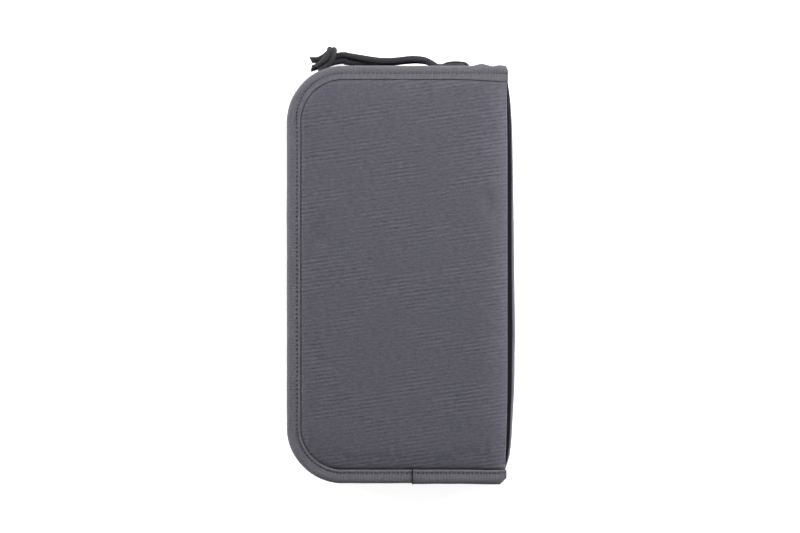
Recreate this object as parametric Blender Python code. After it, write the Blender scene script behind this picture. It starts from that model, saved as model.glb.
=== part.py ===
# Passport holder wallet, lying closed on its back cover.
# Metres. Origin at the centre of the back cover's outer face; +Y along the wallet,
# +X towards the spine, +Z out of the front cover.
from math import cos, pi, sin

import bpy
from mathutils import Vector

MM = 0.001

# Driving dimensions, in millimetres
LENGTH = 245.0            # along Y
HALF_WIDTH = 64.75        # from the middle to the zip side
THICKNESS = 25.0          # closed, over both covers
CORNER_R = 33.0           # rounded corners on the zip side
CORNER_STEPS = 8          # segments in each rounded corner
SPINE_CORNER_R = 2.5      # small corners on the spine side

BINDING_WIDTH = 8.0       # visible width of the folded tape
BINDING_T = 0.6           # thickness of one leg of the tape
BINDING_END_X = 62.4      # where the tape stops at the spine
BINDING_SEAM_X = 9.3      # where the tape's ends lap on the bottom edge

PANEL_RIM = 1.2           # inset of a panel's rim inside the folded tape
PANEL_CREASE = 8.35       # inset where a padded panel drops to the tape

FOLD_X = 64.0             # both fold lines of the spine
FOLD_LOW_Z = 4.5
FOLD_HIGH_Z = THICKNESS - 4.5
SPINE_X = 64.6            # chord of the spine's bulge
SPINE_T = 0.9
SPINE_BULGE = 3.9
SPINE_END_BULGE = 0.7
SPINE_HALF_LENGTH = 118.0

ZIP_MID_Z = 11.6
ZIP_HALF_GAP = 0.4        # between the two coils
COIL_HEIGHT = 2.6
TAPE_END_X = 48.0
COIL_END_X = 41.0
STOP_GAP = 1.6            # room for the slider's long outer plate before the top stops
TAPE_OUT = 4.0            # tape, inset from the outer edge
COIL_OUT = 2.7
COIL_IN = 3.7

SLIDER_X = 34.6           # axis of the cord in the slider's bail
BAIL_Y = 123.0
BAIL_LEFT = 8.9           # outer faces of the bail's feet, from that axis
BAIL_RIGHT = 7.3
SLIDER_RIGHT = 5.3        # end of the inner plate
SLIDER_LEDGE = 0.6        # plate past the bail's feet
SLIDER_HALF_Z = 4.3
CORD_R = 1.9
CORD_SQUEEZED_R = 1.6

INSIDE_X0 = -48.0         # pockets inside the covers
INSIDE_X1 = 46.0
COIN_ZIP_Y = -45.0
COIN_SLIDER_X = 33.0

TOP_Y = LENGTH / 2


def clear_scene():
    for obj in list(bpy.data.objects):
        bpy.data.objects.remove(obj, do_unlink=True)


def principled(name, colour, roughness, metallic=0.0, alpha=1.0):
    mat = bpy.data.materials.new(name)
    mat.use_nodes = True
    shader = mat.node_tree.nodes["Principled BSDF"]
    shader.inputs["Base Color"].default_value = (*colour, 1.0)
    shader.inputs["Roughness"].default_value = roughness
    shader.inputs["Metallic"].default_value = metallic
    shader.inputs["Alpha"].default_value = alpha
    mat.diffuse_color = (*colour, alpha)
    return mat


# colour, roughness, metallic, alpha
FINISHES = {
    "fabric": ((0.105, 0.103, 0.130), 0.85, 0.0, 1.0),
    "tape": ((0.135, 0.133, 0.150), 0.80, 0.0, 1.0),
    "black_fabric": ((0.018, 0.018, 0.020), 0.85, 0.0, 1.0),
    "lining": ((0.045, 0.044, 0.050), 0.80, 0.0, 1.0),
    "board": ((0.30, 0.30, 0.31), 0.50, 0.0, 1.0),
    "nylon": ((0.020, 0.020, 0.022), 0.45, 0.0, 1.0),
    "cord": ((0.042, 0.041, 0.047), 0.75, 0.0, 1.0),
    "metal": ((0.030, 0.030, 0.033), 0.35, 0.9, 1.0),
    "film": ((0.80, 0.82, 0.84), 0.15, 0.0, 0.35),
}


def add_object(name, verts, faces, finish, pivot=(0.0, 0.0, 0.0), smooth=False):
    """One object from vertices in millimetres, its origin at pivot (millimetres)."""
    px, py, pz = pivot
    mesh = bpy.data.meshes.new(name)
    points = [((x - px) * MM, (y - py) * MM, (z - pz) * MM) for x, y, z in verts]
    mesh.from_pydata(points, [], faces)
    mesh.update()
    obj = bpy.data.objects.new(name, mesh)
    obj.location = (px * MM, py * MM, pz * MM)
    bpy.context.scene.collection.objects.link(obj)
    colour, roughness, metallic, alpha = FINISHES[finish]
    mesh.materials.append(principled(name + "_mat", colour, roughness, metallic, alpha))
    if smooth:
        mesh.shade_smooth()
        mesh.set_sharp_from_angle(angle=0.7)
    return obj


def outline(inset, right_x, right_r=SPINE_CORNER_R):
    """Cover outline, counter-clockwise from the bottom right corner."""
    left = -HALF_WIDTH + inset
    half = TOP_Y - inset
    radius = CORNER_R - inset
    corners = [
        (right_x - right_r, half - right_r, right_r, 0.0, 2),
        (left + radius, half - radius, radius, pi / 2, CORNER_STEPS),
        (left + radius, -half + radius, radius, pi, CORNER_STEPS),
        (right_x - right_r, -half + right_r, right_r, 1.5 * pi, 2),
    ]
    points = []
    for cx, cy, r, start, steps in corners:
        for i in range(steps + 1):
            a = start + pi / 2 * i / steps
            points.append((cx + r * cos(a), cy + r * sin(a)))
    return points


def loft(name, rings, finish, pivot=(0.0, 0.0, 0.0), smooth=False):
    """Closed solid through rings [(points, z), ...] that run upwards."""
    count = len(rings[0][0])
    verts = []
    for points, z in rings:
        verts.extend((x, y, z) for x, y in points)
    faces = [list(range(count - 1, -1, -1))]
    for k in range(len(rings) - 1):
        a = k * count
        b = a + count
        for i in range(count):
            j = (i + 1) % count
            faces.append([a + i, a + j, b + j, b + i])
    top = (len(rings) - 1) * count
    faces.append([top + i for i in range(count)])
    return add_object(name, verts, faces, finish, pivot, smooth)


def sheet(name, inset, right_x, z0, z1, finish):
    """Flat layer with the cover's outline."""
    points = outline(inset, right_x)
    return loft(name, [(points, z0), (points, z1)], finish)


def padded_panel(name, outer_z, direction, right_x, rim_depth, finish):
    """Cover panel: crowned outside, with a thin rim that goes into the binding.
    direction is +1 when the inside lies above outer_z, -1 when it lies below."""
    steps = [
        (12.0, right_x - 2.2, 0.0),
        (9.3, right_x - 0.8, 0.3),
        (PANEL_CREASE, right_x, 1.5),
        (PANEL_CREASE, right_x, 2.6),
        (PANEL_RIM, right_x, 2.6),
        (PANEL_RIM, right_x, rim_depth),
    ]
    rings = [(outline(i, r), outer_z + direction * d) for i, r, d in steps]
    if direction < 0:
        rings.reverse()
    return loft(name, rings, finish, smooth=True)


def wall_path(start_x, end_x):
    """Stations round the three zipped sides: ((x, y), outward normal) at the outer edge.
    Runs from start_x on the top edge to end_x on the bottom edge."""
    cx = -HALF_WIDTH + CORNER_R
    cy = TOP_Y - CORNER_R
    stations = [((start_x, TOP_Y), (0.0, 1.0))]
    for y_sign, first in ((1, pi / 2), (-1, pi)):
        for i in range(CORNER_STEPS + 1):
            a = first + pi / 2 * i / CORNER_STEPS
            n = (cos(a), sin(a))
            p = (cx + CORNER_R * n[0], y_sign * cy + CORNER_R * n[1])
            stations.append((p, n))
    stations.append(((end_x, -TOP_Y), (0.0, -1.0)))
    return stations


def sweep(name, stations, profile, finish, smooth=True):
    """Closed solid: profile [(inset, z), ...] carried along the wall stations."""
    count = len(profile)
    verts = []
    for (x, y), (nx, ny) in stations:
        verts.extend((x - nx * d, y - ny * d, z) for d, z in profile)
    area = 0.0
    for i in range(count):
        d0, z0 = profile[i]
        d1, z1 = profile[(i + 1) % count]
        area += d0 * z1 - d1 * z0
    order = list(range(count)) if area > 0 else list(range(count - 1, -1, -1))
    faces = [order[::-1]]
    for k in range(len(stations) - 1):
        a = k * count
        b = a + count
        for i in range(count):
            p = order[i]
            q = order[(i + 1) % count]
            faces.append([a + p, a + q, b + q, b + p])
    last = (len(stations) - 1) * count
    faces.append([last + i for i in order])
    return add_object(name, verts, faces, finish, smooth=smooth)


def binding_profile(z_out, z_in):
    """Folded tape seen in section: two legs and a rounded outer edge."""
    s = 1.0 if z_in > z_out else -1.0
    t = BINDING_T
    w = BINDING_WIDTH
    return [
        (w, z_out),
        (0.8, z_out),
        (0.0, z_out + s * 0.9),
        (0.0, z_in - s * 0.9),
        (0.8, z_in),
        (w, z_in),
        (w, z_in - s * t),
        (0.8, z_in - s * t),
        (0.8, z_out + s * t),
        (w, z_out + s * t),
    ]


def straight_binding(name, x0, x1, z_out, z_in, extra):
    """Length of folded tape on the bottom edge, extra thick on its outside."""
    profile = binding_profile(z_out, z_in)
    profile = [(d - extra if d <= 0.01 else d, z) for d, z in profile]
    stations = [((x0, -TOP_Y), (0.0, -1.0)), ((x1, -TOP_Y), (0.0, -1.0))]
    return sweep(name, stations, profile, "tape")


def cells(name, xs, ys, zs, solid, finish, pivot=(0.0, 0.0, 0.0)):
    """Closed solid from a grid of boxes: solid(i, j, k) says which are filled."""
    nx, ny, nz = len(xs) - 1, len(ys) - 1, len(zs) - 1
    verts = []
    index = {}
    faces = []

    def corner(i, j, k):
        key = (i, j, k)
        if key not in index:
            index[key] = len(verts)
            verts.append((xs[i], ys[j], zs[k]))
        return index[key]

    def filled(i, j, k):
        inside = 0 <= i < nx and 0 <= j < ny and 0 <= k < nz
        return inside and solid(i, j, k)

    sides = [
        ((-1, 0, 0), ((0, 0, 0), (0, 0, 1), (0, 1, 1), (0, 1, 0))),
        ((1, 0, 0), ((1, 0, 0), (1, 1, 0), (1, 1, 1), (1, 0, 1))),
        ((0, -1, 0), ((0, 0, 0), (1, 0, 0), (1, 0, 1), (0, 0, 1))),
        ((0, 1, 0), ((0, 1, 0), (0, 1, 1), (1, 1, 1), (1, 1, 0))),
        ((0, 0, -1), ((0, 0, 0), (0, 1, 0), (1, 1, 0), (1, 0, 0))),
        ((0, 0, 1), ((0, 0, 1), (1, 0, 1), (1, 1, 1), (0, 1, 1))),
    ]
    for i in range(nx):
        for j in range(ny):
            for k in range(nz):
                if not filled(i, j, k):
                    continue
                for (di, dj, dk), quad in sides:
                    if filled(i + di, j + dj, k + dk):
                        continue
                    faces.append([corner(i + a, j + b, k + c) for a, b, c in quad])
    return add_object(name, verts, faces, finish, pivot)


def pocket(name, x0, x1, y0, y1, floor_z, roof_z, wall, skin, finish):
    """Patch pocket stitched on three sides, open at y1 and against its backing."""
    xs = [x0, x0 + wall, x1 - wall, x1]
    ys = [y0, y0 + wall, y1]
    zs = [floor_z, roof_z - skin, roof_z]

    def solid(i, j, k):
        return k == 1 or i != 1 or j == 0

    return cells(name, xs, ys, zs, solid, finish)


def patch(name, x0, x1, y0, y1, z0, z1, r, finish):
    """Flat fabric patch with rounded corners."""
    points = []
    for cx, cy, start in (
        (x1 - r, y1 - r, 0.0),
        (x0 + r, y1 - r, pi / 2),
        (x0 + r, y0 + r, pi),
        (x1 - r, y0 + r, 1.5 * pi),
    ):
        for i in range(4):
            a = start + pi / 2 * i / 3
            points.append((cx + r * cos(a), cy + r * sin(a)))
    return loft(name, [(points, z0), (points, z1)], finish)


def tube(name, path, radii, finish, pivot=(0.0, 0.0, 0.0), sides=10):
    """Round cord along path, with flat ends; radii one per path point."""
    points = [Vector(p) for p in path]
    count = len(points)
    verts = []
    side = None
    for k in range(count):
        before = points[max(k - 1, 0)]
        after = points[min(k + 1, count - 1)]
        t = (after - before).normalized()
        if side is None:
            side = t.cross(Vector((0.0, 0.0, 1.0)))
            if side.length < 0.1:
                side = t.cross(Vector((0.0, 1.0, 0.0)))
        side = (side - t * side.dot(t)).normalized()
        up = t.cross(side)
        for i in range(sides):
            a = 2 * pi * i / sides
            p = points[k] + (side * cos(a) + up * sin(a)) * radii[k]
            verts.append(tuple(p))
    faces = [list(range(sides - 1, -1, -1))]
    for k in range(count - 1):
        a = k * sides
        b = a + sides
        for i in range(sides):
            j = (i + 1) % sides
            faces.append([a + i, a + j, b + j, b + i])
    faces.append([(count - 1) * sides + i for i in range(sides)])
    return add_object(name, verts, faces, finish, pivot, smooth=True)


def build_back_cover():
    padded_panel("back_outer_panel", 0.0, 1, 63.4, 3.2, "fabric")
    sheet("back_stiffener", 9.0, 60.5, 3.5, 4.3, "board")
    sheet("back_lining", PANEL_RIM, 62.9, 4.6, 5.0, "lining")
    sweep(
        "back_binding",
        wall_path(BINDING_END_X, BINDING_END_X),
        binding_profile(1.7, 5.9),
        "tape",
    )
    low = ZIP_MID_Z - ZIP_HALF_GAP - COIL_HEIGHT
    high = ZIP_MID_Z - ZIP_HALF_GAP
    tape = [
        (TAPE_OUT, 6.2),
        (TAPE_OUT, high - 0.3),
        (TAPE_OUT + 0.5, high - 0.3),
        (TAPE_OUT + 0.5, 6.7),
        (9.5, 6.7),
        (9.5, 6.2),
    ]
    sweep("back_zip_tape", wall_path(TAPE_END_X, TAPE_END_X), tape, "black_fabric")
    coil = coil_profile(low, high)
    sweep("back_zip_coil", wall_path(COIL_END_X, COIL_END_X), coil, "nylon")
    zip_stop("back_zip_top_stop", 1, low, high)
    zip_stop("zip_bottom_stop", -1, low, 2 * ZIP_MID_Z - low)
    pocket("boarding_pass_sleeve", -47.0, 47.0, -103.0, 103.0, 5.3, 6.0, 2.0, 0.4, "lining")
    pocket(
        "passport_pocket", INSIDE_X0, INSIDE_X1, -25.0, 103.0, 6.3, 11.4, 2.0, 0.5, "lining"
    )
    pen_loop()


def coil_profile(low, high):
    """Coil in section, rounded on its outside."""
    return [
        (COIL_IN, low),
        (COIL_OUT + 0.3, low),
        (COIL_OUT, low + 0.5),
        (COIL_OUT, high - 0.5),
        (COIL_OUT + 0.3, high),
        (COIL_IN, high),
    ]


def zip_stop(name, y_sign, z0, z1):
    """Moulded stop at the end of a coil, with its corners taken off."""
    y0 = y_sign * (TOP_Y - COIL_IN)
    y1 = y_sign * (TOP_Y - COIL_OUT)
    x0 = COIL_END_X + (STOP_GAP if y_sign > 0 else 0.4)
    x1 = x0 + 2.6
    c = 0.5
    corners = [
        (x0 + c, z0), (x1 - c, z0), (x1, z0 + c), (x1, z1 - c),
        (x1 - c, z1), (x0 + c, z1), (x0, z1 - c), (x0, z0 + c),
    ]
    count = len(corners)
    verts = [(x, y0, z) for x, z in corners] + [(x, y1, z) for x, z in corners]
    faces = [list(range(count)), list(range(2 * count - 1, count - 1, -1))]
    for i in range(count):
        j = (i + 1) % count
        faces.append([j, i, count + i, count + j])
    if y_sign < 0:
        faces = [f[::-1] for f in faces]
    add_object(name, verts, faces, "nylon")


def pen_loop():
    """Flattened elastic ring lying along Y beside the spine."""
    outer = (4.9, 4.4)
    wall = 0.8
    cx = 55.0
    cz = 6.3 + outer[1]
    steps = 16
    half = 12.0
    verts = []
    for y in (-half, half):
        for grow in (0.0, wall):
            for i in range(steps):
                a = 2 * pi * i / steps
                x = cx + (outer[0] - grow) * cos(a)
                z = cz + (outer[1] - grow) * sin(a)
                verts.append((x, y, z))
    faces = []
    near_out, near_in, far_out, far_in = 0, steps, 2 * steps, 3 * steps
    for i in range(steps):
        j = (i + 1) % steps
        faces.append([near_out + i, near_out + j, near_in + j, near_in + i])
        faces.append([far_out + j, far_out + i, far_in + i, far_in + j])
        faces.append([near_out + j, near_out + i, far_out + i, far_out + j])
        faces.append([near_in + i, near_in + j, far_in + j, far_in + i])
    add_object("pen_loop", verts, faces, "black_fabric", smooth=True)


def spine_bulge(y):
    """Bulge of the spine at y: full in the middle, drawn in at both ends."""
    reach = min(abs(y) / 112.0, 1.0)
    return SPINE_END_BULGE + (SPINE_BULGE - SPINE_END_BULGE) * (1.0 - reach**3)


def spine_sheet(name, offset, thickness, z0, z1, half, finish):
    """Curved sheet of the spine, offset inwards from its outer face."""
    verts = []
    rows = 14
    across = 6
    mid = (FOLD_LOW_Z + FOLD_HIGH_Z) / 2
    reach = (FOLD_HIGH_Z - FOLD_LOW_Z) / 2
    for k in range(rows + 1):
        y = -half + 2 * half * k / rows
        bulge = spine_bulge(y)
        for inner in (0.0, thickness):
            for i in range(across + 1):
                z = z0 + (z1 - z0) * i / across
                arc = 1.0 - ((z - mid) / reach) ** 2
                verts.append((SPINE_X + bulge * arc - offset - inner, y, z))
    ring = 2 * (across + 1)
    order = list(range(across + 1)) + list(range(ring - 1, across, -1))
    faces = [order]
    for k in range(rows):
        a = k * ring
        b = a + ring
        for i in range(ring):
            p = order[i]
            q = order[(i + 1) % ring]
            faces.append([a + q, a + p, b + p, b + q])
    faces.append([rows * ring + i for i in reversed(order)])
    return add_object(
        name, verts, faces, finish, (FOLD_X, 0.0, FOLD_LOW_Z), smooth=True
    )


def spine_binding(name, y_sign):
    """Folded tape over a short end of the spine."""
    web = 118.9
    legs = 110.8
    x_in0, x_in1 = 62.9, 63.4
    x_out0, x_out1 = 65.75, 66.3
    section = [
        (x_out1, legs), (x_out1, web - 0.5), (x_out1 - 0.5, web), (x_in0 + 0.5, web),
        (x_in0, web - 0.5), (x_in0, legs), (x_in1, legs), (x_in1, web - 0.6),
        (x_out0, web - 0.6), (x_out0, legs),
    ]
    points = [(x, y_sign * y) for x, y in section]
    if y_sign < 0:
        points.reverse()
    loft(
        name,
        [(points, 6.4), (points, 17.8)],
        "tape",
        (FOLD_X, 0.0, FOLD_LOW_Z),
    )


def build_spine():
    spine_sheet("spine_shell", 0.0, SPINE_T, 5.2, 19.8, SPINE_HALF_LENGTH, "fabric")
    spine_sheet("spine_lining", SPINE_T + 0.3, 0.5, 6.4, 17.8, 110.2, "lining")
    spine_binding("spine_binding_top", 1)
    spine_binding("spine_binding_bottom", -1)


def build_front_cover():
    top = THICKNESS
    padded_panel("slip_pocket_panel", top, -1, 64.2, 3.1, "fabric")
    sheet("slip_pocket_lining", PANEL_RIM, 63.9, top - 4.2, top - 3.9, "black_fabric")
    sheet("front_base_panel", PANEL_RIM, 63.4, top - 5.0, top - 4.5, "fabric")
    sheet("front_stiffener", 9.0, 60.5, top - 6.1, top - 5.3, "board")
    sheet("front_lining", PANEL_RIM, 62.9, top - 6.8, top - 6.4, "lining")
    profile = binding_profile(top - 1.7, top - 7.7)
    sweep(
        "front_binding",
        wall_path(BINDING_END_X, BINDING_SEAM_X - 0.15),
        profile,
        "tape",
    )
    straight_binding(
        "front_binding_lap", BINDING_SEAM_X + 0.15, BINDING_END_X, top - 1.7, top - 7.7, 0.4
    )
    low = ZIP_MID_Z + ZIP_HALF_GAP
    high = low + COIL_HEIGHT
    tape = [
        (TAPE_OUT, 17.0),
        (TAPE_OUT, low + 0.3),
        (TAPE_OUT + 0.5, low + 0.3),
        (TAPE_OUT + 0.5, 16.5),
        (9.5, 16.5),
        (9.5, 17.0),
    ]
    sweep("front_zip_tape", wall_path(TAPE_END_X, TAPE_END_X), tape, "black_fabric")
    coil = coil_profile(low, high)
    sweep("front_zip_coil", wall_path(COIL_END_X, COIL_END_X), coil, "nylon")
    zip_stop("front_zip_top_stop", 1, low, high)
    for k in range(3):
        z1 = 17.9 - 0.7 * k
        patch(
            "card_slot_%d" % (k + 1),
            INSIDE_X0, INSIDE_X1, -24.0, 40.0 - 13.0 * k, z1 - 0.4, z1, 2.0, "lining",
        )
    build_window()
    build_coin_pocket()


def build_window():
    """Identity window: a fabric frame over a clear film."""
    xs = [INSIDE_X0, INSIDE_X0 + 8.0, INSIDE_X1 - 8.0, INSIDE_X1]
    ys = [44.0, 52.0, 95.0, 103.0]

    def solid(i, j, k):
        return i != 1 or j != 1

    cells("id_window_frame", xs, ys, [16.9, 17.4], solid, "lining")
    patch("id_window_film", -43.0, 41.0, 47.0, 100.0, 17.65, 17.9, 3.0, "film")


def build_coin_pocket():
    """Zipped pocket on the inside of the front cover, its zip running along X."""
    y = COIN_ZIP_Y
    patch("coin_pocket_panel", INSIDE_X0, INSIDE_X1, -103.0, y - 3.6, 16.2, 16.7, 3.0, "lining")
    patch("coin_pocket_strip", INSIDE_X0, INSIDE_X1, y + 3.6, -28.0, 16.2, 16.7, 2.0, "lining")
    for name, s in (("coin_zip_upper", 1), ("coin_zip_lower", -1)):
        section = [
            (0.5, 16.0), (0.8, 15.8), (1.9, 15.8), (2.2, 16.0), (2.2, 17.0),
            (7.5, 17.0), (7.5, 17.3), (0.5, 17.3),
        ]
        count = len(section)
        verts = [(-42.0, y + s * d, z) for d, z in section]
        verts += [(40.0, y + s * d, z) for d, z in section]
        faces = [list(range(count)), list(range(2 * count - 1, count - 1, -1))]
        for i in range(count):
            j = (i + 1) % count
            faces.append([j, i, count + i, count + j])
        if s > 0:
            faces = [f[::-1] for f in faces]
        add_object(name, verts, faces, "black_fabric")


def build_slider():
    """Main slider: inner and outer plates, the post between the coils and a bail.
    Its front side has no flange, so the front coil can leave as the cover swings."""
    x = SLIDER_X
    z = ZIP_MID_Z
    half_z = SLIDER_HALF_Z
    foot = 1.0
    left = x - BAIL_LEFT
    right = x + BAIL_RIGHT
    xs = [left - SLIDER_LEDGE, left, left + foot, x + 2.3, x + 3.9, x + SLIDER_RIGHT,
          right - foot, right, right + SLIDER_LEDGE]
    ys = [116.9, 117.7, 120.1, 120.9, 124.8, 125.6]
    zs = [z - half_z, z - 1.2, z - 0.25, z + 0.25, z + 1.2, z + half_z]

    def solid(i, j, k):
        if j == 0:
            return xs[i] < x + SLIDER_RIGHT - 0.1
        if j == 1:
            return i == 3 and k == 2
        if j == 2:
            return True
        if k not in (1, 2, 3):
            return False
        return 1 <= i <= 6 if j == 4 else i in (1, 6)

    obj = cells("slider_body", xs, ys, zs, solid, "metal", (x, BAIL_Y, z))
    bevel = obj.modifiers.new("worn_edges", "BEVEL")
    bevel.width = 0.12 * MM
    bevel.segments = 1
    bevel.limit_method = "ANGLE"


def build_cord():
    """Doubled cord through the bail, knotted, with two cut tails."""
    x = SLIDER_X
    z = ZIP_MID_Z
    pivot = (x, BAIL_Y, z)
    # centre of the doubled cord: x, y, z, then the angle of the pair from vertical
    mid = [
        (-33.2, 126.6, 6.0, 85.0),
        (-30.0, 126.3, 6.0, 75.0),
        (-24.0, 125.7, 6.2, 40.0),
        (-17.0, 125.2, 6.7, 12.0),
        (-11.0, 125.0, 7.3, 0.0),
        (-5.0, 125.2, 8.0, 0.0),
        (0.6, 125.7, 8.6, 0.0),
        (5.0, 126.1, 9.1, 0.0),
        (10.5, 126.3, 9.8, 0.0),
        (15.8, 125.9, 10.6, 0.0),
        (20.5, 124.5, 11.2, 0.0),
    ]
    half = 1.95
    strands = ([], [])
    for cx, cy, cz, angle in mid:
        a = angle * pi / 180
        dy, dz = half * sin(a), half * cos(a)
        strands[0].append((cx, cy + dy, cz + dz))
        strands[1].append((cx, cy - dy, cz - dz))
    turn = [
        (24.4, 3.4, 1.85),
        (28.0, 3.4, 1.85),
        (31.4, 3.4, 1.85),
        (33.2, 3.05, 1.75),
        (34.3, 2.05, CORD_SQUEEZED_R),
        (34.6, 0.8, CORD_SQUEEZED_R),
    ]
    up = [(tx, BAIL_Y, z + dz) for tx, dz, _ in turn]
    down = [(tx, BAIL_Y, z - dz) for tx, dz, _ in reversed(turn)]
    path = strands[0] + up + down + strands[1][::-1]
    lane = [CORD_R] * len(mid)
    radii = lane + [r for _, _, r in turn] + [r for _, _, r in reversed(turn)] + lane
    tube("cord_loop", path, radii, "cord", pivot)
    build_knot(pivot)
    tails = {
        "cord_tail_upper": [(-47.6, 128.0, 7.6), (-49.6, 128.3, 7.6), (-51.9, 127.8, 7.2)],
        "cord_tail_lower": [(-47.4, 123.4, 5.0), (-49.2, 122.2, 4.4), (-51.4, 121.0, 3.6)],
    }
    for name, ends in tails.items():
        tube(name, ends, [CORD_R] * len(ends), "cord", pivot)


def build_knot(pivot):
    """Overhand knot as one lumpy solid, longest across the cord."""
    centre = (-41.2, 126.9, 6.6)
    rings = 10
    sides = 14
    verts = []
    for k in range(rings + 1):
        t = -0.94 + 1.88 * k / rings
        r = (1.0 - t * t) ** 0.5 * (1.0 + 0.10 * cos(t * 9.0))
        for i in range(sides):
            a = 2 * pi * i / sides
            lump = 1.0 + 0.05 * sin(2 * a + 3.0 * t)
            verts.append((
                centre[0] + 6.3 * t,
                centre[1] + 5.6 * r * lump * cos(a),
                centre[2] + 5.3 * r * lump * sin(a),
            ))
    faces = [list(range(sides - 1, -1, -1))]
    for k in range(rings):
        a = k * sides
        b = a + sides
        for i in range(sides):
            j = (i + 1) % sides
            faces.append([a + i, a + j, b + j, b + i])
    faces.append([rings * sides + i for i in range(sides)])
    add_object("cord_knot", verts, faces, "cord", pivot, smooth=True)


def build_coin_slider():
    """Small slider hanging under the coin zip, with a bail below it."""
    x = COIN_SLIDER_X
    y = COIN_ZIP_Y
    xs = [x - 4.5, x - 2.6, x - 1.8, x + 1.0, x + 1.8, x + 2.6, x + 4.5]
    ys = [y - 3.0, y - 0.6, y - 0.3, y + 0.3, y + 0.6, y + 3.0]
    zs = [13.7, 14.2, 15.1, 15.55, 17.55, 17.95]

    def solid(i, j, k):
        if k in (2, 4):
            return True
        if k == 3:
            return j == 2 and i == 3
        if j not in (1, 2, 3):
            return False
        return 1 <= i <= 4 if k == 0 else i in (1, 4)

    pivot = (x - 0.9, y, 14.65)
    cells("coin_slider_body", xs, ys, zs, solid, "metal", pivot)
    px = x - 0.9
    xs = [px - 8.0, px - 7.0, px - 5.6, px - 2.6, px - 0.3, px + 0.3]
    ys = [y - 1.9, y - 0.9, y + 0.9, y + 1.9]

    def tab(i, j, k):
        if j != 1:
            return True
        return i in (0, 2, 4)

    cells("coin_pull_tab", xs, ys, [14.37, 14.93], tab, "metal", pivot)


clear_scene()
build_back_cover()
build_spine()
build_front_cover()
build_slider()
build_cord()
build_coin_slider()
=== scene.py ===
"""Looks of the zip-around passport wallet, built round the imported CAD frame."""
from math import cos, exp, hypot, pi, sin, sqrt

import bpy
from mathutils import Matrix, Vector, noise


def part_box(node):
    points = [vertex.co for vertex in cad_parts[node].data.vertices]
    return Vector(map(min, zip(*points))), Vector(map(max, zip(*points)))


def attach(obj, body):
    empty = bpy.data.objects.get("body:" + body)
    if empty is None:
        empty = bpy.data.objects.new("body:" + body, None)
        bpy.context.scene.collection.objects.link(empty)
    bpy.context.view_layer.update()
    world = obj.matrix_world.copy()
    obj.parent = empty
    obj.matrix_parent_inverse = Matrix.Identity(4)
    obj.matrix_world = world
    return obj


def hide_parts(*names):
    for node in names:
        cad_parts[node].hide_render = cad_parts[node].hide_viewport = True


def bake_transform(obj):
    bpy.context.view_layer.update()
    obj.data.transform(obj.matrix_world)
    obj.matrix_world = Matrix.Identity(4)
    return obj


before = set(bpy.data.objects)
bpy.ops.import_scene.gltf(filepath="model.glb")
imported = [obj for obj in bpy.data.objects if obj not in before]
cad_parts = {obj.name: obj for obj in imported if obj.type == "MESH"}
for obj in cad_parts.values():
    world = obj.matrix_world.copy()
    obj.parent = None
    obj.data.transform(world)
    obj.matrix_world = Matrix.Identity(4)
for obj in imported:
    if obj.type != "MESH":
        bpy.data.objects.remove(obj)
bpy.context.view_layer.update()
MM = 0.001

# Cover outline in millimetres, as in the CAD part
HALF_W = 64.75
TOP_Y = 122.5
CORNER_R = 33.0
CORNER_X = -HALF_W + CORNER_R
CORNER_Y = TOP_Y - CORNER_R
TAPE_W = 8.0                    # leg of the folded binding
CREASE = 8.2                    # inset of the line where a panel dips into the binding
BINDING_END = 65.2
LAP_END = 64.3
SEAM_X = 9.3                    # where the binding laps over itself on the bottom edge
FRONT_OUT, FRONT_IN = 23.3, 17.3
BACK_OUT, BACK_IN = 1.7, 5.9
ZIP_MID = 11.6
SLIDER_X = 34.6
COIN_ZIP_Y = -45.0
STITCH_PITCH = 2.6
SPINE_FULL = 68.42              # the spine's outermost x in its drawn section
SPINE_OUT = ((-117.0, 63.1), (-112.0, 64.6), (-107.0, 66.4), (-97.0, 67.5), (-66.0, 69.1),
             (-34.0, 69.6), (20.0, 68.9), (60.0, 68.4), (86.0, 67.9), (103.0, 66.8),
             (112.0, 65.5), (117.0, 64.6))


# ---------------------------------------------------------------- materials

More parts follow.
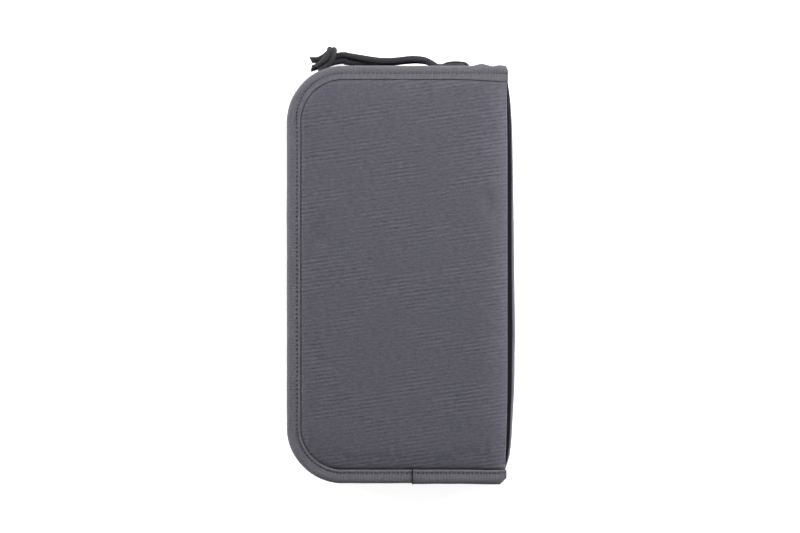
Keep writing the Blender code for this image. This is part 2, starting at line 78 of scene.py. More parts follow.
class Nodes:
    """Short calls for one material's node tree."""

    def __init__(self, name, roughness, metallic=0.0):
        self.mat = bpy.data.materials.new(name)
        self.mat.use_nodes = True
        self.tree = self.mat.node_tree
        self.shader = self.tree.nodes["Principled BSDF"]
        self.surface(Roughness=roughness, Metallic=metallic)

    def surface(self, **values):
        for key, value in values.items():
            self.shader.inputs[key.replace("_", " ")].default_value = value

    def node(self, kind, **inputs):
        n = self.tree.nodes.new(kind)
        for key, value in inputs.items():
            self.feed(n.inputs[key.replace("_", " ")], value)
        return n

    def feed(self, socket, value):
        if isinstance(value, bpy.types.NodeSocket):
            self.tree.links.new(value, socket)
        else:
            socket.default_value = value

    def math(self, op, a, b=0.0):
        n = self.tree.nodes.new("ShaderNodeMath")
        n.operation = op
        self.feed(n.inputs[0], a)
        self.feed(n.inputs[1], b)
        return n.outputs[0]

    def swing(self, base, value, weight):
        """base plus the value's swing about its middle, times weight."""
        return self.math("ADD", base, self.math(
            "MULTIPLY", self.math("SUBTRACT", value, 0.5), weight))

    def map_range(self, value, from_min, from_max, to_min=0.0, to_max=1.0):
        return self.node("ShaderNodeMapRange", Value=value, From_Min=from_min,
                         From_Max=from_max, To_Min=to_min, To_Max=to_max).outputs[0]

    def uv(self, scale=(1.0, 1.0), turn=0.0):
        """UV in millimetres, scaled, as a vector."""
        source = self.tree.nodes.new("ShaderNodeUVMap")
        m = self.node("ShaderNodeMapping", Vector=source.outputs[0])
        m.vector_type = "TEXTURE"
        m.inputs["Scale"].default_value = (1.0 / scale[0], 1.0 / scale[1], 1.0)
        m.inputs["Rotation"].default_value = (0.0, 0.0, turn)
        return m.outputs[0]

    def axis(self, vector, name):
        return self.node("ShaderNodeSeparateXYZ", Vector=vector).outputs[name]

    def noise(self, vector, scale, detail=2.0, distortion=0.0):
        return self.node("ShaderNodeTexNoise", Vector=vector, Scale=scale, Detail=detail,
                         Distortion=distortion).outputs["Fac"]

    def wave(self, vector, scale, direction, distortion=0.0, detail_scale=1.0):
        n = self.node("ShaderNodeTexWave", Vector=vector, Scale=scale, Detail=1.0,
                      Distortion=distortion, Detail_Scale=detail_scale)
        n.bands_direction = direction
        return n.outputs["Fac"]

    def ramp(self, fac, low, high):
        n = self.tree.nodes.new("ShaderNodeValToRGB")
        n.color_ramp.elements[0].color = (*low, 1.0)
        n.color_ramp.elements[1].color = (*high, 1.0)
        self.feed(n.inputs[0], fac)
        return n.outputs[0]

    def tone(self, fac, colour, low=0.5, high=1.5):
        """Base colour from low to high times the colour."""
        self.colour(self.ramp(fac, scaled(colour, low), scaled(colour, high)))

    def colour(self, output):
        self.tree.links.new(output, self.shader.inputs["Base Color"])

    def rough(self, fac, low, high):
        self.tree.links.new(self.map_range(fac, 0.0, 1.0, low, high),
                            self.shader.inputs["Roughness"])

    def bump(self, height, distance):
        n = self.node("ShaderNodeBump", Height=height, Distance=distance * MM, Strength=1.0)
        self.tree.links.new(n.outputs[0], self.shader.inputs["Normal"])


def scaled(colour, k):
    return tuple(min(c * k, 1.0) for c in colour)


def wave_scale(pitch):
    """Scale of a wave texture with its bands pitch millimetres apart."""
    return 1.0 / (20.0 * pitch) * 2 * pi


def plain_weave(name, colour, pitch, flecks=0.35, streaks=0.0, relief=0.10, rough=0.85,
                highlight_edge=0.0):
    """Plain weave: warp and weft threads, slubs along the weft, and faint streaks.

    The last argument is the U at which the fabric folds over; the 16 mm before it are painted
    lighter, a painted highlight where the fold turns to the light.
    """
    m = Nodes(name, rough)
    uv = m.uv()
    scale = wave_scale(pitch)
    warp = m.wave(uv, scale, "X", 0.25, 0.8)
    weft = m.wave(uv, scale, "Y", 0.35, 0.8)
    over = m.math("MULTIPLY", warp, weft)
    slub = m.noise(m.uv((0.16, 1.5)), 1.0, 3.0)
    fac = m.swing(0.5, over, 0.10)
    fac = m.swing(fac, slub, 0.30)
    fac = m.swing(fac, m.noise(uv, 1.1, 2.0), flecks)
    if streaks:
        long = m.noise(m.uv((0.085, 0.60), 0.12), 1.0, 1.5, 0.2)
        short = m.noise(m.uv((0.30, 1.0), 0.05), 1.0, 1.0, 0.2)
        patchy = m.noise(m.uv((0.022, 0.050), 0.2), 1.0, 2.0)
        gate = m.map_range(patchy, 0.40, 0.60, 0.12)
        fac = m.swing(fac, long, m.math("MULTIPLY", gate, streaks))
        fac = m.swing(fac, short, streaks * 1.15)
        rows = m.wave(m.uv((0.02, 0.44), 0.135), 1.0 / 3.18, "Y", 1.1, 0.8)
        fac = m.swing(fac, rows, m.math("MULTIPLY", gate, 0.37))
        fac = m.swing(fac, patchy, 0.10)
    # painted highlight: the colour is lifted over the last 16 mm towards the fold, where the rolled
    # edge faces the light
    if highlight_edge:
        near = m.map_range(m.axis(uv, "X"), highlight_edge - 16.0, highlight_edge)
        wear_and_highlight = m.math("MULTIPLY", near, near)
        fac = m.math("ADD", fac, m.math("MULTIPLY", wear_and_highlight, 0.25))
    m.tone(fac, colour)
    m.rough(slub, rough - 0.06, min(rough + 0.08, 1.0))
    m.bump(over, relief)
    m.surface(Sheen_Weight=0.08, Sheen_Roughness=0.45, Specular_IOR_Level=0.18)
    return m.mat


def ribbed_tape(name, colour, rib=0.9, inner_edge_highlight=0.0):
    """Woven tape with ribs across its length (U runs along the tape, V across it)."""
    m = Nodes(name, 0.8)
    uv = m.uv()
    ribs = m.wave(uv, wave_scale(rib), "X", 0.35, 0.6)
    yarn = m.wave(uv, wave_scale(rib) * 2.1, "Y", 0.5, 0.6)
    fleck = m.noise(m.uv((0.9, 0.7)), 1.0, 3.0)
    wear_and_highlight = m.noise(m.uv((0.09, 0.3)), 1.0, 2.0)
    fac = 0.5
    for value, weight in ((ribs, 0.09), (yarn, 0.06), (fleck, 0.75), (wear_and_highlight, 0.35)):
        fac = m.swing(fac, value, weight)
    # painted highlight: the tape is lighter within about a millimetre of its inner edge, where the
    # fold by the crease catches the light
    if inner_edge_highlight:
        edge = m.map_range(m.axis(uv, "Y"), 1.3, 0.5)
        fac = m.math("ADD", fac, m.math("MULTIPLY", edge, inner_edge_highlight))
    m.tone(fac, colour)
    m.bump(m.math("ADD", ribs, m.math("MULTIPLY", yarn, 0.4)), 0.12)
    m.rough(fleck, 0.72, 0.9)
    m.surface(Sheen_Weight=0.08, Specular_IOR_Level=0.2)
    return m.mat


def braided(name, colour):
    """Braided cord sheath: two sets of strands crossing round the cord."""
    m = Nodes(name, 0.7)
    strands = [m.wave(m.uv((1.0, 1.0), turn), 0.46, "X", 0.1) for turn in (pi / 4, -pi / 4)]
    cross = m.math("MULTIPLY", *strands)
    fleck = m.noise(m.uv(), 2.5, 3.0)
    m.tone(m.math("ADD", m.math("MULTIPLY", cross, 0.7), m.math("MULTIPLY", fleck, 0.3)),
           colour, 0.55, 1.45)
    m.bump(cross, 0.22)
    m.rough(fleck, 0.6, 0.85)
    m.surface(Specular_IOR_Level=0.22)
    return m.mat


def moulded(name, colour, rough=0.45, metallic=0.0, wear=0.0):
    """Moulded nylon, board or painted metal, with fine grain and rubbed edges."""
    m = Nodes(name, rough, metallic)
    coord = m.tree.nodes.new("ShaderNodeTexCoord")
    fine = m.noise(coord.outputs["Object"], 600.0, 4.0)
    tone = m.ramp(fine, scaled(colour, 0.75), scaled(colour, 1.3))
    if wear:
        edge = m.tree.nodes.new("ShaderNodeNewGeometry").outputs["Pointiness"]
        mix = m.tree.nodes.new("ShaderNodeMix")
        mix.data_type = "RGBA"
        m.feed(mix.inputs["Factor"], m.math("MULTIPLY", m.map_range(edge, 0.52, 0.60), wear))
        m.feed(mix.inputs["A"], tone)
        mix.inputs["B"].default_value = (0.30, 0.30, 0.31, 1.0)
        tone = mix.outputs["Result"]
    m.colour(tone)
    m.rough(fine, max(rough - 0.08, 0.05), rough + 0.1)
    m.bump(fine, 0.03)
    return m.mat


def clear_film(name):
    m = Nodes(name, 0.12)
    fine = m.noise(m.uv(), 0.08, 2.0)
    m.colour(m.ramp(fine, (0.30, 0.31, 0.32), (0.42, 0.43, 0.44)))
    m.rough(fine, 0.06, 0.16)
    m.surface(Alpha=0.14)
    return m.mat


GREY = (0.0785, 0.0770, 0.0955)
CLOTH = plain_weave("grey_cloth", GREY, 0.62, flecks=0.75, streaks=0.55)
# the slip pocket cloth gets a painted highlight over the 16 mm before its rolled mouth edge at 64.8
# mm
POCKET_CLOTH = plain_weave("slip_pocket_cloth", GREY, 0.62, flecks=0.75, streaks=0.55,
                           highlight_edge=64.8)
SPINE_CLOTH = plain_weave("spine_cloth", GREY, 0.62)
# the grey binding carries a painted highlight along its inner edge
TAPE = ribbed_tape("grey_binding", (0.0980, 0.0965, 0.1110), inner_edge_highlight=0.22)
BLACK_TAPE = ribbed_tape("black_zip_tape", (0.016, 0.016, 0.018), 0.7)
LINING = plain_weave("dark_lining", (0.036, 0.035, 0.040), 0.40, relief=0.05, rough=0.75)
BLACK_LINING = plain_weave("black_lining", (0.014, 0.014, 0.016), 0.40, relief=0.05)
THREAD = braided("dark_thread", (0.034, 0.033, 0.038))
# near-black strand material, used only for the painted shade line at the binding's lap
SEAM_SHADE_THREAD = braided("seam_shade_thread", (0.008, 0.008, 0.009))
LINING_THREAD = braided("lining_thread", (0.115, 0.112, 0.125))
CORD = braided("black_cord", (0.0285, 0.0275, 0.0325))
NYLON = moulded("black_nylon", (0.018, 0.018, 0.020), 0.38)
METAL = moulded("black_metal", (0.016, 0.016, 0.018), 0.42, 0.3, 0.12)
BOARD = moulded("grey_board", (0.28, 0.28, 0.29), 0.55)
FILM = clear_film("clear_film")


# ---------------------------------------------------------------- mesh tools

def outward(verts, faces):
    """True if the faces wind outwards, by the signed volume."""
    total = 0.0
    for face in faces:
        a = Vector(verts[face[0]])
        for k in range(1, len(face) - 1):
            total += a.dot(Vector(verts[face[k]]).cross(Vector(verts[face[k + 1]])))
    return total > 0


def make_mesh(name, verts, faces, uvs, mat):
    """A closed piece from vertices in millimetres; uvs holds one pair per face corner."""
    if not outward(verts, faces):
        faces = [f[::-1] for f in faces]
        uvs = [u[::-1] for u in uvs]
    mesh = bpy.data.meshes.new(name)
    mesh.from_pydata([(x * MM, y * MM, z * MM) for x, y, z in verts], [], faces)
    layer = mesh.uv_layers.new(name="UVMap")
    layer.data.foreach_set("uv", [value for face in uvs for pair in face for value in pair])
    mesh.materials.append(mat)
    mesh.update()
    obj = bpy.data.objects.new(name, mesh)
    bpy.context.scene.collection.objects.link(obj)
    mesh.shade_smooth()
    mesh.set_sharp_from_angle(angle=1.05)
    return obj


def place(obj, body, *nodes):
    """Carries a piece on a body, in the place of the named CAD nodes."""
    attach(obj, body)
    if nodes:
        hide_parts(*nodes)
    return obj


def node_box(node):
    """A CAD node's x0, x1, y0, y1, z0, z1 in millimetres."""
    lo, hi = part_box(node)
    return [value / MM for pair in zip(lo, hi) for value in pair]


def circle(count, start=0.0):
    """Cosine and sine of evenly spaced angles round a circle."""
    angles = [2 * pi * i / count + start for i in range(count)]
    return [(cos(a), sin(a)) for a in angles]


def power(value, exponent):
    """A power that keeps the sign; under 1 it squares up a circle."""
    return abs(value) ** exponent * (1 if value >= 0 else -1)


def smoothstep(t):
    t = min(max(t, 0.0), 1.0)
    return t * t * (3.0 - 2.0 * t)


def bell(offset, width):
    return exp(-(offset / width) ** 2)


def loft(name, rings, mat, along=None, axis=None):
    """Closed skin through equal rings of points. U runs along the rings, V round them.
    U is along, or the rings' own coordinate on an axis, or the length travelled."""
    count = len(rings[0])
    verts = [tuple(p) for ring in rings for p in ring]
    if axis is not None:
        along = [ring[0][axis] for ring in rings]
    if along is None:
        along = [0.0]
        for k in range(1, len(rings)):
            along.append(along[-1] + (Vector(rings[k][0]) - Vector(rings[k - 1][0])).length)
    around = [0.0]
    middle = rings[len(rings) // 2]
    for i in range(count):
        step = (Vector(middle[(i + 1) % count]) - Vector(middle[i])).length
        around.append(around[-1] + step)
    faces, uvs = [], []
    for k in range(len(rings) - 1):
        a = k * count
        b = a + count
        for i in range(count):
            j = (i + 1) % count
            faces.append([a + i, a + j, b + j, b + i])
            uvs.append([(along[k], around[i]), (along[k], around[i + 1]),
                        (along[k + 1], around[i + 1]), (along[k + 1], around[i])])
    last = len(verts) - count
    for face in (list(range(count - 1, -1, -1)), list(range(last, last + count))):
        faces.append(face)
        uvs.append([(verts[i][0], verts[i][2]) for i in face])
    return make_mesh(name, verts, faces, uvs, mat)


def ring_mesh(name, sections, mat, flat=False):
    """Closed band through sections that meet again at the start, such as a frame."""
    n, count = len(sections[0]), len(sections)
    verts = [p for section in sections for p in section]
    faces, uvs = [], []
    for i in range(count):
        j = (i + 1) % count
        for k in range(n):
            m = (k + 1) % n
            face = [i * n + k, i * n + m, j * n + m, j * n + k]
            faces.append(face)
            uvs.append([verts[v][:2] for v in face] if flat else
                       [(i, k), (i, k + 1), (i + 1, k + 1), (i + 1, k)])
    return make_mesh(name, verts, faces, uvs, mat)


def flat_uv(obj):
    """Lays the weave of a flat piece along X and Y, in millimetres."""
    layer = obj.data.uv_layers[0]
    for loop in obj.data.loops:
        co = obj.data.vertices[loop.vertex_index].co
        layer.data[loop.index].uv = (co.x / MM, co.y / MM)
    return obj


def spaced(lo, hi, fine, coarse, margin):
    """Positions from lo to hi, closer together near both ends."""
    points = [lo]
    while points[-1] < hi - 1e-6:
        near = min(points[-1] - lo, hi - points[-1])
        share = min(max(near / margin, 0.0), 1.0)
        points.append(points[-1] + fine + (coarse - fine) * share)
    points[-1] = hi
    return points


def wave_noise(x, y, z=0.0, scale=0.1):
    return noise.noise(Vector((x * scale, y * scale, z * scale)))


def smooth_path(points, steps):
    """Catmull-Rom spline through points."""
    out = []
    pts = [Vector(p) for p in points]
    for k in range(len(pts) - 1):
        p0 = pts[max(k - 1, 0)]
        p1, p2 = pts[k], pts[k + 1]
        p3 = pts[min(k + 2, len(pts) - 1)]
        for i in range(steps):
            t = i / steps
            out.append(0.5 * (
                2 * p1 + (p2 - p0) * t
                + (2 * p0 - 5 * p1 + 4 * p2 - p3) * t * t
                + (3 * p1 - p0 - 3 * p2 + p3) * t * t * t
            ))
    out.append(pts[-1])
    return out


def tangent(points, k):
    """Direction of a path at its point k."""
    return (points[min(k + 1, len(points) - 1)] - points[max(k - 1, 0)]).normalized()


def tube(name, path, radius, mat, sides=12, ends=True, slant=None):
    """Round strand along a dense path; radius is a number or a function of the share."""
    pts = [Vector(p) for p in path]
    rings, along = [], []
    side = None
    travelled = 0.0
    for k, p in enumerate(pts):
        t = tangent(pts, k)
        if side is None:
            side = t.cross(Vector((0, 0, 1)))
            if side.length < 0.1:
                side = t.cross(Vector((0, 1, 0)))
        side = (side - t * side.dot(t)).normalized()
        up = t.cross(side)
        r = radius(k / (len(pts) - 1)) if callable(radius) else radius
        if k:
            travelled += (p - pts[k - 1]).length
        along.append(travelled)
        rings.append([p + side * (r * c) + up * (r * s) for c, s in circle(sides)])
    if slant is not None:
        t = (pts[-1] - pts[-2]).normalized()
        for k in (-1, -2):
            rings[k] = [q + t * (slant * (q - pts[k]).y) for q in rings[k]]
    if ends:
        caps = []
        for at, inner in ((0, 1), (-1, -2)):
            centre = sum(rings[at], Vector()) / sides
            t = (pts[at] - pts[inner]).normalized()
            caps.append([centre + (q - centre) * 0.72 + t * 0.28 for q in rings[at]])
        rings = [caps[0]] + rings + [caps[1]]
        along = [along[0] - 0.4] + along + [along[-1] + 0.4]
    return loft(name, rings, mat, along)


def join(name, objs):
    """Several meshes as one piece."""
    first = objs[0]
    bpy.ops.object.select_all(action="DESELECT")
    for o in objs:
        o.select_set(True)
    bpy.context.view_layer.objects.active = first
    bpy.ops.object.join()
    first.name = name
    first.data.name = name
    return first


def edge_stations(start_x, end_x, step):
    """Stations along the covers' outer edge from the top right, round the zip side, to the
    bottom: (x, y, nx, ny, travelled)."""
    out = []

    def corner(y, start):
        count = int(CORNER_R * pi / 2 / step)
        for i in range(count):
            a = start + pi / 2 * i / count
            out.append((CORNER_X + CORNER_R * cos(a), y + CORNER_R * sin(a), cos(a), sin(a)))

    length = start_x - CORNER_X
    count = max(int(length / step), 2)
    for i in range(count):
        out.append((start_x - length * i / count, TOP_Y, 0.0, 1.0))
    corner(CORNER_Y, pi / 2)
    count = int(2 * CORNER_Y / step)
    for i in range(count):
        out.append((-HALF_W, CORNER_Y - 2 * CORNER_Y * i / count, -1.0, 0.0))
    corner(-CORNER_Y, pi)
    length = end_x - CORNER_X
    count = max(int(length / step), 2)
    for i in range(count + 1):
        out.append((CORNER_X + length * i / count, -TOP_Y, 0.0, -1.0))
    stations, travelled = [], 0.0
    for k, (x, y, nx, ny) in enumerate(out):
        if k:
            travelled += hypot(x - out[k - 1][0], y - out[k - 1][1])
        stations.append((x, y, nx, ny, travelled))
    return stations


def run_along(name, stations, profile, mat):
    """Loft of profile(station) -> [(inset, z), ...] along the edge stations."""
    rings = [[(st[0] - st[2] * d, st[1] - st[3] * d, z) for d, z in profile(st)]
             for st in stations]
    return loft(name, rings, mat, [st[4] for st in stations])


def stitches(name, marks, mat, length=1.35, r=0.29):
    """A run of sewn stitches: marks are (centre, direction, normal)."""
    verts, faces, uvs = [], [], []
    sides = 5
    # share of the length, size, lift off the fabric
    sections = ((-0.5, 0.35, -0.10), (-0.3, 0.95, 0.10), (0.0, 1.0, 0.16),
                (0.3, 0.95, 0.10), (0.5, 0.35, -0.10))
    for centre, direction, normal in marks:
        size_here = 0.72 if abs(centre[1] - TOP_Y) < 8.0 else 1.0
        d = Vector(direction).normalized()
        n = Vector(normal).normalized()
        side = d.cross(n)
        base = len(verts)
        for along, size, lift in sections:
            c = Vector(centre) + d * (along * length * size_here) + n * lift
            for across, up in circle(sides):
                verts.append(tuple(c + (side * across + n * up) * (r * size * size_here)))
        for k in range(len(sections) - 1):
            a = base + k * sides
            b = a + sides
            for i in range(sides):
                j = (i + 1) % sides
                faces.append([a + i, b + i, b + j, a + j])
                uvs.append([(k, i), (k + 1, i), (k + 1, i + 1), (k, i + 1)])
        end = base + (len(sections) - 1) * sides
        faces.append([base + i for i in range(sides)])
        uvs.append([(0, i) for i in range(sides)])
        faces.append([end + i for i in reversed(range(sides))])
        uvs.append([(4, i) for i in range(sides)])
    return make_mesh(name, verts, faces, uvs, mat)


def straight_marks(x0, y0, x1, y1, z, up):
    """Stitch marks on a straight line in a plane of constant z."""
    length = hypot(x1 - x0, y1 - y0)
    count = max(int(length / STITCH_PITCH), 1)
    d = ((x1 - x0) / length, (y1 - y0) / length, 0.0)
    shares = [(k + 0.5) / count for k in range(count)]
    return [((x0 + (x1 - x0) * t, y0 + (y1 - y0) * t, z), d, (0, 0, up)) for t in shares]


def lining_stitches(name, body, lines):
    """Finer stitches inside the wallet; lines are the arguments of straight_marks."""
    marks = [mark for line in lines for mark in straight_marks(*line)]
    place(stitches(name, marks, LINING_THREAD, 1.7, 0.26), body)


# ---------------------------------------------------------------- cloth

def settle(obj, free, pressure, frames, cap):
    """Cloth under light pressure: free(vertex in mm) is how far a point may leave its place."""
    rest = [v.co.copy() for v in obj.data.vertices]
    group = obj.vertex_groups.new(name="pin")
    for v in obj.data.vertices:
        weight = 1.0 - free(v.co / MM)
        group.add([v.index], min(max(weight, 0.0), 1.0), "REPLACE")
    mod = obj.modifiers.new("cloth", "CLOTH")
    s = mod.settings
    s.quality = 4
    s.mass = 0.15
    s.tension_stiffness = 12.0
    s.compression_stiffness = 12.0
    s.shear_stiffness = 5.0
    s.bending_stiffness = 0.4
    s.vertex_group_mass = "pin"
    s.use_pressure = True
    s.uniform_pressure_force = pressure
    s.shrink_min = -0.012
    s.effector_weights.gravity = 0.0
    mod.collision_settings.use_collision = False
    scene = bpy.context.scene
    scene.frame_start = 1
    mod.point_cache.frame_start = 1
    mod.point_cache.frame_end = frames
    for f in range(1, frames + 1):
        scene.frame_set(f)
    posed = obj.evaluated_get(bpy.context.evaluated_depsgraph_get())
    moved = [v.co.copy() for v in posed.to_mesh().vertices]
    posed.to_mesh_clear()
    obj.modifiers.remove(mod)
    scene.frame_set(1)
    for v, a, b in zip(obj.data.vertices, rest, moved):
        step = b - a
        limit = cap * MM * free(a / MM)
        if step.length > limit:
            step = step.normalized() * limit
        v.co = a + step
    obj.data.update()


# ---------------------------------------------------------------- covers

def stitch_inset(y):
    """The sewn row runs nearer the outer edge along the top."""
    return 6.1 - 1.6 * smoothstep((y - 80.0) / 40.0)


def top_drop(x, y):
    """Extra width of the binding towards its right end on the top edge."""
    return 1.3 * smoothstep((x - 38.0) / 27.0) if y > 0 else 0.0


def gather(x, y):
    """Puckers of the top edge where the binding runs over the gusset."""
    if y < 0:
        return 0.0
    return 1.15 * bell(x - 49.6, 3.6) + 0.45 * bell(x - 60.4, 2.6) - 0.35 * bell(x - 56.3, 1.6)


def end_cut(x, end, r):
    """How far the outer edge is rounded in at the end of a binding."""
    t = min(max((x - end + r) / r, 0.0), 1.0)
    return r * (1.0 - sqrt(1.0 - t * t))


def crease_left(y, inset):
    """Left end of a row at y inside the outline moved in by inset."""
    r = CORNER_R - inset
    over = abs(y) - CORNER_Y
    if over <= 0:
        return -HALF_W + inset
    return CORNER_X - sqrt(max(r * r - over * over, 0.0))


def crease_depth(x, y, inset=CREASE):
    """Distance inside that outline, spine side left out."""
    r = CORNER_R - inset
    if x < CORNER_X and abs(y) > CORNER_Y:
        return r - hypot(x - CORNER_X, abs(y) - CORNER_Y)
    return min(x + HALF_W - inset, TOP_Y - inset - abs(y))


def pucker(x, y):
    """Drawing-in of a panel between the stitches of its binding."""
    return sin(2 * pi * (x if abs(y) > CORNER_Y else y) / STITCH_PITCH)


def hem_x(y):
    """Edge of the slip pocket's mouth, drawn in a little at the bottom."""
    low = min(max((-y - 55.0) / 55.0, 0.0), 1.0)
    return 64.8 - 1.2 * low * low - 0.35 * smoothstep((y - 70.0) / 40.0)


def panel_rows(fine, coarse):
    """Rows of a panel, with one past each end that dives under the binding."""
    half = TOP_Y - CREASE
    return half, [-half - 0.9] + spaced(-half, half, fine, coarse, 12.0) + [half + 0.9]


def front_panel():
    """Padded slip pocket panel, sunk into the binding and rolled at its mouth."""
    half, rows = panel_rows(0.7, 2.6)
    share = spaced(0.0, 1.0, 0.008, 0.024, 0.12)
    roll, under, tuck = 1.5, 21.9, 0.8
    rings = []
    for y in rows:
        yy = min(max(y, -half), half)
        left = crease_left(yy, CREASE)
        right = hem_x(y) - roll
        ring = [(left - tuck, y, 22.5)]
        top = 0.0
        for u in share:
            x = left + (right - left) * u
            d = max(crease_depth(x, yy), 0.0)
            top = 22.40 + 0.80 * smoothstep(d / 0.6) + 0.95 * (1.0 - exp(-max(d - 0.4, 0) / 1.7))
            top += 0.75 * (1.0 - exp(-d / 9.0))
            top += 0.20 * (1.0 - (x / 66.0) ** 2) * (1.0 - (yy / 120.0) ** 2)
            top -= 2.2 * exp(-(right + roll - x) / 6.1) * min(d / 3.0, 1.0)
            top += 0.10 * wave_noise(x, y, 3.0, 0.045) * min(d / 8.0, 1.0)
            top += 0.035 * pucker(x, yy) * exp(-d / 2.5)
            if abs(y) > half:
                top = 22.3
            ring.append((x, y - top_drop(x, y) * max(y, 0.0) / half, top))
        mid, rise = (top + under) / 2, (top - under) / 2
        slack = top_drop(right, y) * max(y, 0.0) / half
        for i in range(1, 8):
            a = pi * i / 8
            ring.append((right + roll * sin(a), y - slack, mid + rise * cos(a)))
        for u in (0.0, 0.05, 0.12, 0.4, 0.8):
            ring.append((right - (right - left) * u, y, under))
        ring.append((left - tuck, y, under))
        rings.append(ring)
    obj = flat_uv(loft("front_slip_pocket_panel", rings, POCKET_CLOTH, axis=1))

    def free(p):
        if p.z < 23.0 or p.x > 60.0:
            return 0.0
        d = crease_depth(p.x, p.y)
        return min(max((d - 0.8) / 9.0, 0.0), 1.0) * min((60.0 - p.x) / 6.0, 1.0)

    settle(obj, free, 3.0, 14, 0.55)
    place(obj, "front", "slip_pocket_panel")


def back_panel():
    """Outer panel of the back cover, flat where the wallet lies on it."""
    half, rows = panel_rows(0.8, 3.2)
    share = spaced(0.0, 1.0, 0.009, 0.03, 0.12)
    right, inner, tuck = 61.8, 3.0, 0.8
    rings = []
    for y in rows:
        yy = min(max(y, -half), half)
        left = crease_left(yy, CREASE)
        ring = [(left - tuck, y, inner), (left - tuck, y, 2.4)]
        for u in share:
            x = left + (right - left) * u
            d = max(crease_depth(x, yy), 0.0)
            z = 1.85 * exp(-d / 1.9)
            z += 0.62 * min(max((x - 56.6) / 1.4, 0.0), 1.0)
            z += 0.04 * (1 + pucker(x, yy)) * exp(-d / 2.5)
            z += 0.05 * (1 + wave_noise(x, y, 9.0, 0.05)) * exp(-d / 14.0)
            ring.append((x, y, 2.2 if abs(y) > half else z))
        for u in (0.0, 0.25, 0.6):
            ring.append((right - (right - left) * u, y, inner))
        rings.append(ring)
    obj = flat_uv(loft("back_cover_panel", rings, CLOTH, axis=1))
    place(obj, "back", "back_outer_panel")


def binding_ring(s, z_out, z_in, x, y, grow=0.0):
    """Section of the folded tape at travelled length s: puffed legs drawn down at the seam."""
    up = 1.0 if z_out > z_in else -1.0
    row = stitch_inset(y)
    stitch = 0.5 + 0.5 * cos(2 * pi * s / STITCH_PITCH)
    wander = 0.14 * wave_noise(s, 0.0, 5.0, 0.09)
    width = TAPE_W + (top_drop(x, y) if up > 0 else 0.0) + wander * 0.6
    ring = []
    for d in sorted([width, width - 0.4, width - 1.0, row + 0.45, row, row - 0.45, row - 1.1,
                     3.2, 2.3, 1.5], reverse=True):
        draw = (0.07 + 0.22 * stitch) * bell(d - row, 0.6)
        puff = 0.30 * bell(d - 2.6, 1.5) + 0.15 * bell(d - width + 1.0, 0.7)
        edge = 0.12 if d > width - 0.2 else 0.0
        ring.append((d, z_out + up * (puff - draw - edge + grow)))
    mid = (z_out + z_in) / 2
    reach = abs(z_out - z_in) / 2
    out = gather(x, y) if up > 0 else 0.5 * gather(x, y)
    for i in range(1, 8):
        a = pi * i / 8
        bulge = (1.25 + out) * sin(a) ** 0.75
        ring.append((1.15 - bulge - grow + wander, mid + up * (reach + grow) * cos(a) * 0.98))
    for d in sorted([1.5, 2.3, 3.2, row - 1.1, row - 0.45, row, row + 0.45, 7.0, 7.6, TAPE_W]):
        draw = (0.14 + 0.10 * stitch) * bell(d - row, 0.6)
        ring.append((d, z_in - up * (0.16 * bell(d - 2.6, 1.5) - draw)))
    thick = 0.55
    ring.append((TAPE_W, z_in + up * thick))
    ring.append((1.0, z_in + up * (thick + 0.1)))
    ring.append((1.0, z_out - up * (thick + 0.1)))
    ring.append((width, z_out - up * thick))
    return ring


def binding(side, z_out, z_in, start_x, end_x):
    """Folded tape round one cover, with a sewn line on each of its two faces."""
    stations = edge_stations(start_x, end_x, 0.78)
    up = 1 if z_out > z_in else -1

    def profile(st):
        x, y = st[0], st[1]
        cut = end_cut(x, start_x, 2.4) if y > 0 else 0.0
        share = 1.0 - cut / (TAPE_W + 1.3)
        return [(cut + d * share, z) for d, z in binding_ring(st[4], z_out, z_in, x, y)]

    obj = run_along(side + "_edge_binding", stations, profile, TAPE)
    place(obj, side, side + "_binding")
    edge_stitches(side + "_edge_stitches", side, stations, z_out - up * 0.12, up)
    edge_stitches(side + "_edge_stitches_inside", side, stations, z_in + up * 0.08, -up)


def edge_stitches(name, body, stations, z, up):
    """Sewn line along the binding, on the face at z."""
    marks = []
    target = STITCH_PITCH / 2
    for (x0, y0, nx, ny, s0), (x1, y1, _, _, s1) in zip(stations, stations[1:]):
        while target <= s1:
            t = (target - s0) / (s1 - s0)
            inset = stitch_inset(y0)
            x = x0 + (x1 - x0) * t - nx * inset
            y = y0 + (y1 - y0) * t - ny * inset
            marks.append(((x, y, z), (-ny, nx, 0.0), (0, 0, up)))
            target += STITCH_PITCH
    place(stitches(name, marks, THREAD), body)


def binding_lap():
    """The binding's far end, lapped over its start on the bottom edge."""
    count, taper = 70, 3.9
    rings, along = [], []
    for k in range(count + 1):
        x = SEAM_X + (LAP_END - SEAM_X) * k / count
        cut = max((x - LAP_END + taper) / taper, 0.0)
        outer = -TOP_Y - 0.35 * smoothstep((x - 40.0) / 20.0) + 3.6 * cut
        share = 1.0 - 0.42 * cut
        ring = binding_ring(x, FRONT_OUT, FRONT_IN, x, -TOP_Y, 0.40)
        rings.append([(x, outer + d * share, z) for d, z in ring])
        along.append(x)
    lap = loft("front_binding_lap_end", rings, TAPE, along)
    place(lap, "front", "front_binding_lap")
    row = -TOP_Y + stitch_inset(-TOP_Y)
    marks = straight_marks(SEAM_X + 2.0, row, LAP_END - 3.0, row, FRONT_OUT + 0.30, 1)
    place(stitches("front_lap_stitches", marks, THREAD), "front")
    # painted shade: a near-black strand round the fold at the lap's cut end stands in for the
    # shadow line of the gap there
    fold = binding_ring(SEAM_X, FRONT_OUT, FRONT_IN, SEAM_X, -TOP_Y, 0.36)[:27]
    path = [(SEAM_X - 0.15, -TOP_Y + d, z) for d, z in fold]
    place(tube("front_lap_seam_shade", path, 0.38, SEAM_SHADE_THREAD, sides=8), "front")


